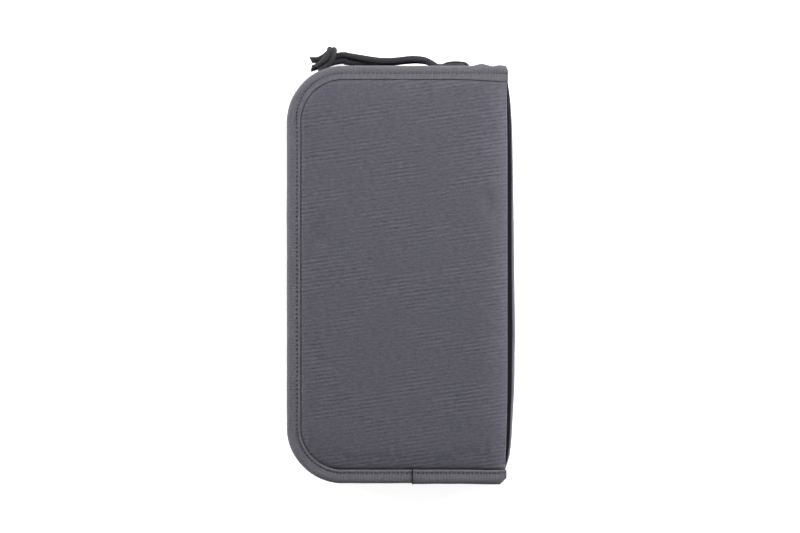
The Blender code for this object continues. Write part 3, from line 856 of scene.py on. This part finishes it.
def cover_sheet(name, body, node, right, z0, z1, mat, ripple=0.08):
    """Thin sewn-in sheet with the cover's outline and a slight unevenness."""
    inset = 1.3
    half = TOP_Y - inset
    share = spaced(0.0, 1.0, 0.02, 0.05, 0.2)
    rings = []
    for y in spaced(-half, half, 2.0, 5.0, 16.0):
        left = crease_left(y, inset)
        top, low = [], []
        for u in share:
            x = left + (right - left) * u
            w = ripple * wave_noise(x, y, z0, 0.06)
            top.append((x, y, z1 + w))
            low.append((x, y, z0 + w))
        rings.append(top + low[::-1])
    place(flat_uv(loft(name, rings, mat, axis=1)), body, node)


# ---------------------------------------------------------------- spine

def spine_out(y):
    """The spine's outermost x at y, straight between the shape's key widths."""
    if y <= SPINE_OUT[0][0]:
        return SPINE_OUT[0][1]
    for (y0, x0), (y1, x1) in zip(SPINE_OUT, SPINE_OUT[1:]):
        if y <= y1:
            return x0 + (x1 - x0) * (y - y0) / (y1 - y0)
    return SPINE_OUT[-1][1]


def across(points, k):
    """Normal of a section in the XZ plane at its point k."""
    t = tangent(points, k)
    return Vector((t.z, 0.0, -t.x))


def spine_strip(name, path, thickness, half, mat, over=0.0):
    """Sheet through path [(x, z), ...] in section, carried along Y and drawn in with y."""
    pts = smooth_path([Vector((x, 0.0, z)) for x, z in path], 4)
    rings = []
    for y in spaced(-half, half, 1.6, 4.5, 20.0):
        pull = (spine_out(y - 2) + spine_out(y) + spine_out(y + 2)) / 3 - SPINE_FULL
        pull += over * smoothstep((y - 10.0) / 60.0)
        skin, inside = [], []
        for k, p in enumerate(pts):
            n = across(pts, k)
            share = min(max((p.x - 62.0) / 6.0, 0.0), 1.0)
            dx = pull * share + 0.10 * wave_noise(y, p.z * 3.0, 4.0, 0.05) * share
            skin.append((p.x + dx, y, p.z))
            inside.append((p.x + dx - n.x * thickness, y, p.z - n.z * thickness))
        rings.append(skin + inside[::-1])
    obj = loft(name, rings, mat, axis=1)
    for loop in obj.data.uv_layers[0].data:
        u, v = loop.uv
        loop.uv = (v, u)
    return obj


def spine():
    """Spine fabric in two halves, and its lining."""
    mid = 12.5
    low = [(57.4, 0.10), (59.5, 0.06), (62.0, 0.06), (64.3, 0.30), (66.3, 1.35),
           (67.5, 3.3), (68.0, 6.0), (68.35, 9.2), (SPINE_FULL, mid)]
    high = [(SPINE_FULL, mid), (68.35, 15.8), (68.15, 18.6), (67.9, 20.6), (67.3, 21.85),
            (66.6, 22.1), (65.9, 21.5), (64.4, 20.75), (61.5, 20.45), (58.5, 20.4)]
    lip = [(66.75, 22.35), (66.1, 22.1), (65.1, 21.65), (63.5, 21.4), (60.5, 21.3), (57.5, 21.3)]
    inner_low = [(60.4, 5.3), (62.3, 5.4), (64.2, 6.0), (65.8, 7.6), (66.6, 9.8), (66.8, mid)]
    inner_high = [(66.8, mid), (66.6, 15.0), (65.6, 16.8), (64.0, 17.7), (62.2, 18.0),
                  (60.4, 18.05)]
    lower = (("back", "spine"), (0.0615, 0, 0.0), (0.0665, 0, 0.009))
    upper = (("spine", "front"), (0.0665, 0, 0.0155), (0.0620, 0, 0.0245))
    inner_lower = (("back", "spine"), (0.0615, 0, 0.003), (0.0662, 0, 0.0095))
    inner_upper = (("spine", "front"), (0.0662, 0, 0.0145), (0.0615, 0, 0.0215))
    for name, path, thickness, half, mat, over, fold, node in (
            ("spine_cloth_lower", low, 0.55, 116.5, SPINE_CLOTH, 0.0, lower, "spine_shell"),
            ("spine_cloth_upper", high, 0.55, 116.5, SPINE_CLOTH, 0.0, upper, None),
            ("slip_pocket_mouth_lining", lip, 0.25, 115.5, BLACK_LINING, 0.75, upper, None),
            ("spine_lining_lower", inner_low, 0.35, 113.0, LINING, 0.0, inner_lower,
             "spine_lining"),
            ("spine_lining_upper", inner_high, 0.35, 113.0, LINING, 0.0, inner_upper, None)):
        obj = spine_strip(name, path, thickness, half, mat, over)
        bodies, start, end = fold
        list(bodies)
        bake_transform(obj)
        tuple(start)
        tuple(end)
        if node:
            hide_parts(node)
    marks = straight_marks(58.6, -112.0, 58.6, 112.0, 0.42, -1)
    place(stitches("spine_seam_stitches", marks, THREAD), "back")


def spine_end(label, s):
    """Binding over a short end of the spine, in a lower and an upper half."""
    low = [(60.2, 3.8), (61.4, 3.9), (62.2, 5.0), (62.5, 7.0), (62.6, 9.6), (62.6, 12.5)]
    high = [(62.6, 12.5), (62.6, 15.2), (62.5, 17.8), (62.2, 19.6), (61.4, 20.4), (60.2, 20.5)]
    halves = (("lower", low, "back", "spine", (0.0600, 0, 0.0035), (0.0628, 0, 0.0095)),
              ("upper", high, "spine", "front", (0.0628, 0, 0.0155), (0.0600, 0, 0.0215)))
    for half, path, a, b, start, end in halves:
        pts = smooth_path([Vector((x, 0.0, z)) for x, z in path], 5)
        rings = []
        for k, p in enumerate(pts):
            n = across(pts, k)
            ring = []
            for i, (c, thick) in enumerate(circle(16)):
                along = max(min(4.5 * c, 4.0), -4.0)
                wave = 0.22 * wave_noise(k * 1.5, i * 0.2, s * 7.0, 0.35)
                ring.append((p.x + n.x * (thick + wave), s * (115.8 + along) + wave,
                             p.z + n.z * (thick + wave)))
            rings.append(ring)
        obj = loft("spine_end_binding_%s_%s" % (label, half), rings, TAPE)
        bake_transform(obj)
        if half == "lower":
            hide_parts("spine_binding_" + label)


def gusset(label, s):
    """Gathered end of the zip tape beside the spine: one half stays on each cover."""
    x0, x1, count, steps = 45.4, 62.6, 44, 9
    for half, body, foot, lip in (("lower", "back", 5.6, 11.45), ("upper", "front", 17.6, 11.75)):
        rings = []
        for k in range(count + 1):
            x = x0 + (x1 - x0) * k / count
            bump = (1.9 * bell(x - 51.5, 4.5) + 1.0 * bell(x - 60.0, 3.0)) * (1.0 if s > 0 else 0.5)
            base = 118.6 + 0.12 * wave_noise(x, s * 3.0, min(foot, lip), 0.3)
            rise = (lip - foot) * (0.45 + 0.55 * smoothstep((x - 44.9) / 4.5))
            ring = []
            for side, order in ((0.0, range(steps)), (0.9, reversed(range(steps)))):
                for i in order:
                    t = i / (steps - 1)
                    puff = sin(pi * (0.12 + 0.70 * t)) ** 1.5
                    fold = 0.35 * smoothstep((t - 0.8) / 0.2)
                    y = base + (bump + 0.7) * puff - side + (fold if side else -fold)
                    ring.append((x, s * y, foot + rise * t))
            rings.append(ring)
        place(loft("gusset_%s_%s" % (label, half), rings, BLACK_TAPE, axis=0), body)


# ---------------------------------------------------------------- main zip

def zip_tape(side, z_foot, z_edge):
    """Zip tape: a foot sewn inside the binding and a wall up to the coil."""
    up = 1.0 if z_edge > z_foot else -1.0
    thick = 0.5
    low = z_foot + up * 0.6

    def profile(st):
        out = 4.0 + 0.12 * wave_noise(st[4], z_foot, 2.0, 0.06)
        wall = [(0.15 * sin(pi * k / 4), low + (z_edge - low) * k / 4) for k in range(5)]
        return ([(9.3, z_foot), (6.5, z_foot), (out + 0.6, z_foot),
                 (out + 0.12, z_foot + up * 0.15), (out, low)]
                + [(out - sway, z) for sway, z in wall[1:]]
                + [(out + thick, z_edge)]
                + [(out + thick - sway, z) for sway, z in wall[3:0:-1]]
                + [(out + thick, z_foot + up * 0.75), (out + thick + 0.3, z_foot + up * thick),
                   (9.3, z_foot + up * thick)])

    obj = run_along(side + "_zip_tape_web", edge_stations(47.0, 47.0, 2.2), profile, BLACK_TAPE)
    place(obj, side, side + "_zip_tape")


def coil(side, centre_z, phase):
    """Zip coil as one wound wire along the edge."""
    stations = edge_stations(40.8, 40.8, 0.25)
    pitch, per_turn, half_z = 1.75, 8, 1.20
    total = stations[-1][4]
    path = []
    at = 0
    for k in range(int(total / pitch) * per_turn + 1):
        s = min(k / per_turn * pitch, total - 1e-6)
        while at < len(stations) - 2 and stations[at + 1][4] < s:
            at += 1
        x0, y0, nx, ny, s0 = stations[at]
        x1, y1, _, _, s1 = stations[at + 1]
        t = (s - s0) / (s1 - s0)
        a = 2 * pi * k / per_turn + phase
        d = 3.15 - 0.48 * sin(a)
        path.append((x0 + (x1 - x0) * t - nx * d, y0 + (y1 - y0) * t - ny * d,
                     centre_z + half_z * cos(a)))
    obj = tube(side + "_zip_wire", path, 0.29, NYLON, sides=5, ends=False)
    place(obj, side, side + "_zip_coil")


def zip_stop(name, body, node):
    """Moulded stop: the CAD block's place, with softly rounded flanks."""
    x0, x1, y0, y1, z0, z1 = node_box(node)
    cx, cy, cz = (x0 + x1) / 2, (y0 + y1) / 2, (z0 + z1) / 2
    hx, hy, hz = (x1 - x0) / 2, (y1 - y0) / 2, (z1 - z0) / 2
    rings = []
    for t in (-1.0, -0.86, -0.5, 0.0, 0.5, 0.86, 1.0):
        k = 1.0 - 0.22 * abs(t) ** 4
        rings.append([(cx + hx * k * power(c, 0.55), cy + hy * k * power(s, 0.55), cz + hz * t)
                      for c, s in circle(16)])
    place(loft(name, rings, NYLON), body, node)


def plate(x0, x1, width0, width1, y0, y1, z):
    """Slider plate in the XZ plane between y0 and y1, narrower at x0, edges rounded."""
    cx, hx = (x0 + x1) / 2, (x1 - x0) / 2
    outline = []
    for c, s in circle(28):
        px = power(c, 0.5)
        width = width0 + (width1 - width0) * (px + 1) / 2
        outline.append((hx * px, width * power(s, 0.5)))
    rings = []
    for t, k in ((0.0, 0.93), (0.12, 0.985), (0.3, 1.0), (0.7, 1.0), (0.88, 0.985), (1.0, 0.93)):
        y = y0 + (y1 - y0) * t
        rings.append([(cx + dx * k, y, z + dz * k) for dx, dz in outline])
    return loft("plate", rings, METAL)


def slider():
    """Main slider: two plates, the post between the coils and a bail for the cord."""
    x, z = SLIDER_X, ZIP_MID
    parts = [
        plate(x - 9.2, x + 5.3, 3.5, 4.3, 116.9, 117.7, z),
        plate(x - 9.2, x + 8.0, 3.5, 4.3, 120.25, 120.95, z),
        plate(x + 2.3, x + 3.9, 0.24, 0.24, 117.5, 120.3, z),
    ]
    arch = smooth_path([(x + dx, y, z) for dx, y in (
        (-8.9, 120.5), (-9.1, 121.6), (-7.9, 123.0), (-5.2, 124.4), (-1.6, 124.95), (1.6, 124.95),
        (4.6, 124.5), (6.6, 123.3), (7.3, 121.8), (7.2, 120.5))], 4)
    rings = []
    for k, p in enumerate(arch):
        t = tangent(arch, k)
        n = Vector((t.y, -t.x, 0.0))
        thick = 0.72 + 0.35 * smoothstep((p.x - x - 3.0) / 3.0)
        rings.append([p + n * (thick * power(c, 0.6)) + Vector((0, 0, 1.15 * power(s, 0.6)))
                      for c, s in circle(12)])
    parts.append(loft("bail", rings, METAL))
    place(join("main_slider", parts), "zip_slider", "slider_body")


# ---------------------------------------------------------------- cord

def cord():
    """Doubled cord from the bail, tied in an overhand knot, with two cut tails."""
    # middle of the pair: x, y, z, and the pair's angle from upright in degrees
    lane = [
        (-31.0, 127.4, 6.2, 82.0), (-26.0, 126.7, 6.2, 66.0), (-19.0, 125.9, 6.4, 44.0),
        (-12.0, 125.3, 7.0, 26.0), (-5.0, 125.3, 7.9, 14.0), (0.6, 125.7, 8.5, 13.0),
        (5.0, 126.2, 9.1, 13.0), (10.5, 126.5, 9.8, 13.0), (15.8, 126.0, 10.6, 8.0),
        (19.6, 124.6, 11.1, 0.0),
    ]
    one, two = [], []
    for x, y, z, angle in lane:
        a = angle * pi / 180
        off = Vector((0.0, 1.93 * sin(a), 1.93 * cos(a)))
        one.append(Vector((x, y, z)) + off)
        two.append(Vector((x, y, z)) - off)
    # the turn round the bail: x, y, distance from the zip's middle
    turn = [(23.4, 122.3, 2.6), (26.6, 122.0, 3.1), (31.0, 122.2, 3.2), (35.8, 122.4, 2.9),
            (37.9, 122.5, 1.8), (38.2, 122.5, 0.0)]
    up = [(x, y, ZIP_MID + dz) for x, y, dz in turn]
    down = [(x, y, ZIP_MID - dz) for x, y, dz in reversed(turn[:-1])]
    path = smooth_path(one + up + down + two[::-1], 6)
    loop = tube("cord_strands", path, lambda share: 1.9 - 0.3 * bell(share - 0.5, 0.018), CORD,
                sides=14)
    place(loop, "cord", "cord_loop")
    place(knot_piece(), "cord", "cord_knot", "cord_tail_upper", "cord_tail_lower")


def knot_piece():
    """Overhand knot in the doubled cord; the strands run on into the cut tails."""
    run = [Vector(p) for p in (
        (-29.5, 127.6, 6.3), (-33.0, 127.6, 6.3), (-37.0, 126.8, 6.2), (-41.0, 125.4, 6.0),
        (-44.8, 123.4, 5.4), (-45.8, 122.2, 6.8), (-43.8, 123.4, 8.8), (-40.6, 126.2, 9.6),
        (-38.6, 130.7, 9.0), (-38.4, 132.7, 5.8), (-38.8, 131.1, 2.9), (-41.8, 127.6, 2.4),
        (-45.2, 125.6, 3.6))]
    tails = ((1, [(-46.8, 126.6, 5.6), (-48.8, 126.5, 6.4), (-50.6, 126.5, 6.6)]),
             (-1, [(-46.8, 123.0, 4.2), (-48.6, 122.1, 4.2), (-50.2, 121.6, 4.0)]))
    parts = []
    for sign, tail in tails:
        out = []
        side = Vector((0.0, 1.0, 0.12))
        for k, p in enumerate(run):
            t = tangent(run, k)
            side = (side - t * side.dot(t)).normalized()
            gap = 1.75 if k < 2 else 1.6
            if k in (8, 9, 10):
                # over the top the two strands lie side by side
                flat = Vector((1.0, -0.08, 0.0))
                flat = (flat - t * flat.dot(t)).normalized()
                side = flat if flat.dot(side) > 0 else -flat
                gap = 1.3
            out.append(p + side * (gap * sign))
        parts.append(tube("strand", smooth_path(out + tail, 7),
                          lambda share: 1.85 - 0.12 * bell(share - 0.5, 0.3), CORD, sides=14,
                          slant=0.55 * sign))
    inside = smooth_path(
        [(-35.8, 128.8, 5.6), (-39.4, 129.2, 5.2), (-42.6, 127.2, 4.6), (-45.2, 125.0, 4.6)], 6)
    parts.append(tube("inside", inside, 1.95, CORD, sides=14))
    return join("cord_overhand_knot", parts)


# ---------------------------------------------------------------- inside pockets

def rounded_rise(share):
    """Quarter-round rise from 0 at the edge to 1."""
    return sqrt(max(1.0 - (1.0 - min(share, 1.0)) ** 2, 0.0))


def pocket(name, node, box, height, mouth_sag, skin):
    """Patch pocket on the back cover, sewn on three sides: a raised skin over a hollow,
    hemmed at its mouth. box is (x0, x1, y0, y1, base z); the mouth is at y1."""
    x0, x1, y0, y1, base = box
    rows = [y0, y0 + 0.5, y0 + 1.2, y0 + 2.4, y0 + 4.0]
    rows += spaced(y0 + 8.0, y1 - 9.0, 5.0, 6.0, 20.0)
    rows += [y1 - 8.3, y1 - 7.9, y1 - 4.0, y1 - 0.5, y1]
    shares = [0.0, 0.01, 0.03, 0.06, 0.12, 0.22, 0.36, 0.5, 0.64, 0.78, 0.88, 0.94, 0.97,
              0.99, 1.0]
    rings = []
    for y in rows:
        rise_y = rounded_rise((y - y0) / 4.0)
        hem = 0.22 if y > y1 - 8.1 else 0.0
        mouth = max((y - y1 + 40.0) / 40.0, 0.0)
        outer, inner = [], []
        for u in shares:
            rise_x = rounded_rise(min(u, 1.0 - u) * (x1 - x0) / 3.2)
            x = x0 + (x1 - x0) * u
            h = height * rise_x * rise_y
            h -= mouth_sag * mouth * sin(pi * u) ** 2
            h += 0.16 * wave_noise(x, y, base, 0.05) * rise_x * rise_y
            h = max(h, 0.05)
            outer.append((x, y, base + h + hem * rise_x))
            inner.append((x + (0.5 - u) * 2 * skin, y, base + max(h - skin, 0.02)))
        rings.append(outer + inner[::-1])
    place(flat_uv(loft(name, rings, LINING, axis=1)), "back", node)
    lining_stitches(name + "_hem_stitches", "back", [
        (x0 + 4.0, y1 - 6.9, x1 - 4.0, y1 - 6.9, base + height, 1)])
    low = base + 0.35
    lining_stitches(name + "_side_stitches", "back", [
        (x0 + 0.5, y0 + 1.0, x0 + 0.5, y1 - 1.0, low, 1),
        (x1 - 0.5, y0 + 1.0, x1 - 0.5, y1 - 1.0, low, 1),
        (x0 + 1.0, y0 + 0.4, x1 - 1.0, y0 + 0.4, low, 1)])


def patch(name, node, box, thickness, mat, hem=0.0, ripple=0.1):
    """Flat patch with soft edges sewn under the front cover.
    box is (x0, x1, y0, y1, z on the backing side)."""
    x0, x1, y0, y1, base = box
    xs = spaced(x0, x1, 0.5, 5.0, 8.0)
    rings = []
    for y in spaced(y0, y1, 0.5, 5.0, 8.0):
        end = 0.5 * max(1.0 - (y - y0) / 1.2, 0.0) + 0.5 * max(1.0 - (y1 - y) / 1.2, 0.0)
        top, low = [], []
        for x in xs:
            soft = rounded_rise(min(x - x0, x1 - x, y - y0, y1 - y) / 0.9)
            rise = thickness * (0.35 + 0.65 * soft)
            if hem and y > y1 - hem:
                rise += 0.16 * soft
            rise += ripple * wave_noise(x, y, base, 0.06) * soft
            xx = x + (end if x == x0 else -end if x == x1 else 0.0)
            top.append((xx, y, base - rise))
            low.append((xx, y, base))
        rings.append(top + low[::-1])
    place(flat_uv(loft(name, rings, mat, axis=1)), "front", node)


def window_frame():
    """Fabric frame of the identity window, with a bound opening and its clear film."""
    x0, x1, y0, y1, _, _ = node_box("id_window_frame")
    border, r, base = 8.0, 3.0, 17.45

    def rounded(a0, a1, b0, b1):
        pts = []
        for cx, cy, start in ((a1 - r, b1 - r, 0.0), (a0 + r, b1 - r, pi / 2),
                              (a0 + r, b0 + r, pi), (a1 - r, b0 + r, 1.5 * pi)):
            for i in range(7):
                a = start + pi / 2 * i / 6
                pts.append((cx + r * cos(a), cy + r * sin(a)))
        return pts

    outer = rounded(x0, x1, y0, y1)
    inner = rounded(x0 + border, x1 - border, y0 + border, y1 - border)
    # share of the way in to the opening, height
    section = [(0.0, 0.0), (0.0, 0.3), (0.03, 0.52), (0.10, 0.6), (0.5, 0.55), (0.80, 0.62),
               (0.88, 0.95), (0.95, 1.0), (1.0, 0.7), (1.0, 0.0)]
    sections = [[(p[0] + (q[0] - p[0]) * t, p[1] + (q[1] - p[1]) * t, base - 0.75 * h)
                 for t, h in section] for p, q in zip(outer, inner)]
    place(ring_mesh("id_window_surround", sections, LINING, flat=True), "front",
          "id_window_frame")
    z = base - 0.62
    lining_stitches("id_window_stitches", "front", [
        (x0 + 4, y0 + 5.6, x1 - 4, y0 + 5.6, z, -1), (x0 + 4, y1 - 5.6, x1 - 4, y1 - 5.6, z, -1),
        (x0 + 5.6, y0 + 7, x0 + 5.6, y1 - 7, z, -1), (x1 - 5.6, y0 + 7, x1 - 5.6, y1 - 7, z, -1)])
    patch("id_window_clear_film", "id_window_film", (-43.0, 41.0, 47.0, 100.0, 17.9), 0.22, FILM,
          ripple=0.03)


def card_slots():
    for k in (1, 2, 3):
        node = "card_slot_%d" % k
        x0, x1, y0, y1, z0, z1 = node_box(node)
        patch("card_slot_panel_%d" % k, node, (x0, x1, y0, y1, z1), 0.42, LINING, 5.0, 0.06)
        z = z0 - 0.06
        lining_stitches("card_slot_stitches_%d" % k, "front", [
            (x0 + 2, y1 - 4.2, x1 - 2, y1 - 4.2, z - 0.1, -1),
            (x0 + 1.4, y0 + 1, x0 + 1.4, y1 - 1, z, -1),
            (x1 - 1.4, y0 + 1, x1 - 1.4, y1 - 1, z, -1)])


def pen_loop():
    """Elastic pen loop: a flattened ring with ribs, sewn down beside the spine."""
    cx, cz, half = 55.0, 10.7, 12
    rings = []
    for y in [float(k) for k in range(-half, half + 1)]:
        grow = 0.05 * sin(y * 4.2) - 0.25 * max(abs(y) - 11.0, 0.0)
        rings.append([(cx + (4.85 + grow) * c, y, cz + (4.35 + grow) * s)
                      for c, s in circle(28, -pi / 2)])
    for y in [float(k) for k in range(half, -half - 1, -1)]:
        rings.append([(cx + 4.1 * c, y, cz + 3.6 * s) for c, s in circle(28, -pi / 2)])
    place(ring_mesh("elastic_pen_loop", rings, BLACK_TAPE), "back", "pen_loop")


def coin_pocket():
    """Zipped coin pocket on the inside of the front cover."""
    for name, node in (("coin_pocket_main_panel", "coin_pocket_panel"),
                       ("coin_pocket_top_panel", "coin_pocket_strip")):
        x0, x1, y0, y1, _, z1 = node_box(node)
        patch(name, node, (x0, x1, y0, y1, z1), 0.55, LINING)
    lining_stitches("coin_pocket_stitches", "front", [
        (xa, ya, xb, yb, 16.08, -1) for xa, ya, xb, yb in (
            (-46.0, -50.2, 44.0, -50.2), (-46.0, -39.8, 44.0, -39.8),
            (-46.5, -101.5, 44.5, -101.5), (-46.6, -100.0, -46.6, -52.0),
            (44.6, -100.0, 44.6, -52.0))])
    pitch = 1.3
    for label, s, phase in (("upper", 1, 0.0), ("lower", -1, pi)):
        tape = []
        for k in range(28):
            x = -42.0 + 82.0 * k / 27
            sway = 0.05 * wave_noise(x, s * 2.0, 1.0, 0.2)
            tape.append([(x, COIN_ZIP_Y + s * d, z + sway) for d, z in (
                (0.55, 17.0), (4.0, 17.0), (7.4, 17.02), (7.4, 17.3), (4.0, 17.3), (0.55, 17.3))])
        wire = []
        for k in range(int(81.0 / pitch) * 8 + 1):
            a = 2 * pi * k / 8 + phase
            wire.append((-41.5 + k / 8 * pitch, COIN_ZIP_Y + s * (1.28 - 0.78 * cos(a)),
                         16.36 + 0.36 * sin(a)))
        parts = [loft("web", tape, BLACK_TAPE),
                 tube("wound", wire, 0.22, NYLON, sides=5, ends=False)]
        place(join("coin_zip_half_" + label, parts), "front", "coin_zip_" + label)
    coin_slider()
    pull_tab()


def coin_slider():
    """Small slider under the coin zip, with a low bail."""
    x0, x1 = node_box("coin_slider_body")[:2]
    x, y = (x0 + x1) / 2, COIN_ZIP_Y

    def lying(x0, x1, w0, w1, z0, z1):
        piece = plate(x0, x1, w0, w1, z0, z1, 0.0)
        for v in piece.data.vertices:
            px, py, pz = v.co
            v.co = (px, pz + y * MM, py)
        piece.data.flip_normals()
        return piece

    parts = [
        lying(x - 4.5, x + 4.5, 2.5, 3.0, 15.1, 15.6),
        lying(x - 4.5, x + 4.5, 2.5, 3.0, 17.52, 17.95),
        lying(x + 1.0, x + 1.8, 0.28, 0.28, 15.5, 17.6),
    ]
    arch = smooth_path([(x + dx, y, z) for dx, z in (
        (-2.2, 15.2), (-2.25, 14.3), (-1.5, 13.95), (0.0, 13.92), (1.5, 13.95), (2.25, 14.3),
        (2.2, 15.2))], 4)
    rings = [[p + across(arch, k) * (0.24 * c) + Vector((0, 0.58 * s, 0))
              for c, s in circle(10)] for k, p in enumerate(arch)]
    parts.append(loft("bail", rings, METAL))
    place(join("small_slider", parts), "coin_slider", "coin_slider_body")


def pull_tab():
    """Pull tab: a loop round the bail and a slotted plate with rounded ends."""
    px, py, pz = 32.1, COIN_ZIP_Y, 14.65
    # share of the way from the rim to the hole, height
    section = [(0.0, -0.16), (0.0, 0.16), (0.16, 0.28), (0.84, 0.28), (1.0, 0.16),
               (1.0, -0.16), (0.84, -0.28), (0.16, -0.28)]

    def flat_ring(x0, x1, hx0, hx1, hy):
        """Flat ring from x0 to x1 round a hole from hx0 to hx1."""
        sections = []
        for c, s in circle(20):
            sx, sy = power(c, 0.45), power(s, 0.45)
            rim = ((x0 + x1) / 2 + (x1 - x0) / 2 * sx, 1.9 * sy)
            hole = ((hx0 + hx1) / 2 + (hx1 - hx0) / 2 * sx, hy * sy)
            sections.append([(px + rim[0] + (hole[0] - rim[0]) * t,
                              py + rim[1] + (hole[1] - rim[1]) * t, pz + h) for t, h in section])
        return ring_mesh("ring", sections, METAL)

    tab = join("small_pull_tab", [flat_ring(-3.3, 0.32, -2.6, -0.32, 0.9),
                                  flat_ring(-8.0, -2.9, -6.9, -5.4, 0.8)])
    place(tab, "coin_pull", "coin_pull_tab")


# ---------------------------------------------------------------- build

front_panel()
back_panel()
binding("front", FRONT_OUT, FRONT_IN, BINDING_END, SEAM_X + 4.0)
binding_lap()
binding("back", BACK_OUT, BACK_IN, 62.6, 62.6)
cover_sheet("back_inside_lining", "back", "back_lining", 62.6, 4.6, 5.0, LINING)
cover_sheet("front_inside_lining", "front", "front_lining", 62.6, 18.2, 18.6, LINING)
cover_sheet("front_base_cloth", "front", "front_base_panel", 61.0, 20.0, 20.45, SPINE_CLOTH, 0.05)
cover_sheet("slip_pocket_inner_lining", "front", "slip_pocket_lining", 62.0, 20.8, 21.05,
            BLACK_LINING, 0.05)
spine()
for end, direction in (("top", 1), ("bottom", -1)):
    spine_end(end, direction)
    gusset(end, direction)
zip_tape("back", 6.2, 10.6)
zip_tape("front", 17.0, 12.6)
coil("back", 10.05, 0.0)
coil("front", 13.15, pi)
zip_stop("back_zip_end_stop", "back", "back_zip_top_stop")
zip_stop("front_zip_end_stop", "front", "front_zip_top_stop")
zip_stop("zip_start_box", "back", "zip_bottom_stop")
slider()
cord()
pocket("boarding_pass_pocket", "boarding_pass_sleeve", (-47.0, 47.0, -103.0, 103.0, 5.2),
       0.75, 0.0, 0.35)
pocket("passport_patch_pocket", "passport_pocket", (-48.0, 46.0, -25.0, 103.0, 6.25),
       5.0, 0.5, 0.6)
card_slots()
window_frame()
coin_pocket()
pen_loop()
for node in ("back_stiffener", "front_stiffener"):
    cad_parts[node].data.materials[0] = BOARD


# ---------------------------------------------------------------- studio

def area(name, location, target, size, power_watts):
    data = bpy.data.lights.new(name, "AREA")
    data.shape = "RECTANGLE"
    data.size, data.size_y = size
    data.energy = power_watts
    obj = bpy.data.objects.new(name, data)
    obj.location = location
    obj.rotation_mode = "QUATERNION"
    way = Vector(target) - Vector(location)
    obj.rotation_quaternion = way.to_track_quat("-Z", "Y")
    obj.visible_camera = False
    bpy.context.scene.collection.objects.link(obj)


def sky(scene):
    """Soft sky, brighter overhead, and plain white where the camera sees it."""
    world = bpy.data.worlds.new("studio")
    world.use_nodes = True
    tree = world.node_tree
    coord = tree.nodes.new("ShaderNodeTexCoord")
    apart = tree.nodes.new("ShaderNodeSeparateXYZ")
    rise = tree.nodes.new("ShaderNodeMapRange")
    tree.links.new(coord.outputs["Generated"], apart.inputs[0])
    tree.links.new(apart.outputs["Z"], rise.inputs["Value"])
    for key, value in (("From Min", -0.1), ("From Max", 0.7), ("To Min", 0.18), ("To Max", 0.37)):
        rise.inputs[key].default_value = value
    path = tree.nodes.new("ShaderNodeLightPath")
    seen = tree.nodes.new("ShaderNodeMath")
    seen.operation = "MAXIMUM"
    tree.links.new(rise.outputs[0], seen.inputs[0])
    tree.links.new(path.outputs["Is Camera Ray"], seen.inputs[1])
    back = tree.nodes["Background"]
    tree.links.new(seen.outputs[0], back.inputs["Strength"])
    back.inputs["Color"].default_value = (1.0, 1.0, 1.0, 1.0)
    scene.world = world


def floor_sheet(scene):
    """White paper under the wallet, lit from below so that it stays white."""
    size = 4.0
    mesh = bpy.data.meshes.new("floor")
    mesh.from_pydata([(-size, -size, 0), (size, -size, 0), (size, size, 0), (-size, size, 0)],
                     [], [(0, 1, 2, 3)])
    floor = bpy.data.objects.new("floor", mesh)
    floor.location.z = -0.0004
    paper = bpy.data.materials.new("pale_paper")
    paper.use_nodes = True
    inputs = paper.node_tree.nodes["Principled BSDF"].inputs
    inputs["Base Color"].default_value = (0.93, 0.93, 0.93, 1.0)
    inputs["Roughness"].default_value = 0.9
    inputs["Emission Color"].default_value = (1.0, 1.0, 1.0, 1.0)
    inputs["Emission Strength"].default_value = 0.74
    mesh.materials.append(paper)
    scene.collection.objects.link(floor)


def camera(scene):
    """Long lens straight above; width is what the picture shows at the cover's height."""
    distance, width = 3.0, 0.4689
    data = bpy.data.cameras.new("camera")
    data.sensor_width = 36.0
    data.lens = data.sensor_width * distance / width
    eye = bpy.data.objects.new("camera", data)
    eye.location = (0.00176, 0.0047, 0.025 + distance)
    scene.collection.objects.link(eye)
    scene.camera = eye


def studio():
    scene = bpy.context.scene
    scene.view_settings.view_transform = "Standard"
    sky(scene)
    area("key", (0.24, 0.56, 0.50), (0.02, 0.07, 0.0), (0.6, 0.35), 5.5)
    area("left", (-0.80, 0.20, 0.09), (-0.05, 0.02, 0.02), (0.12, 0.6), 13.5)
    area("right", (0.80, 0.20, 0.09), (0.05, 0.02, 0.02), (0.12, 0.6), 14.5)
    floor_sheet(scene)
    camera(scene)


studio()
bpy.context.view_layer.update()
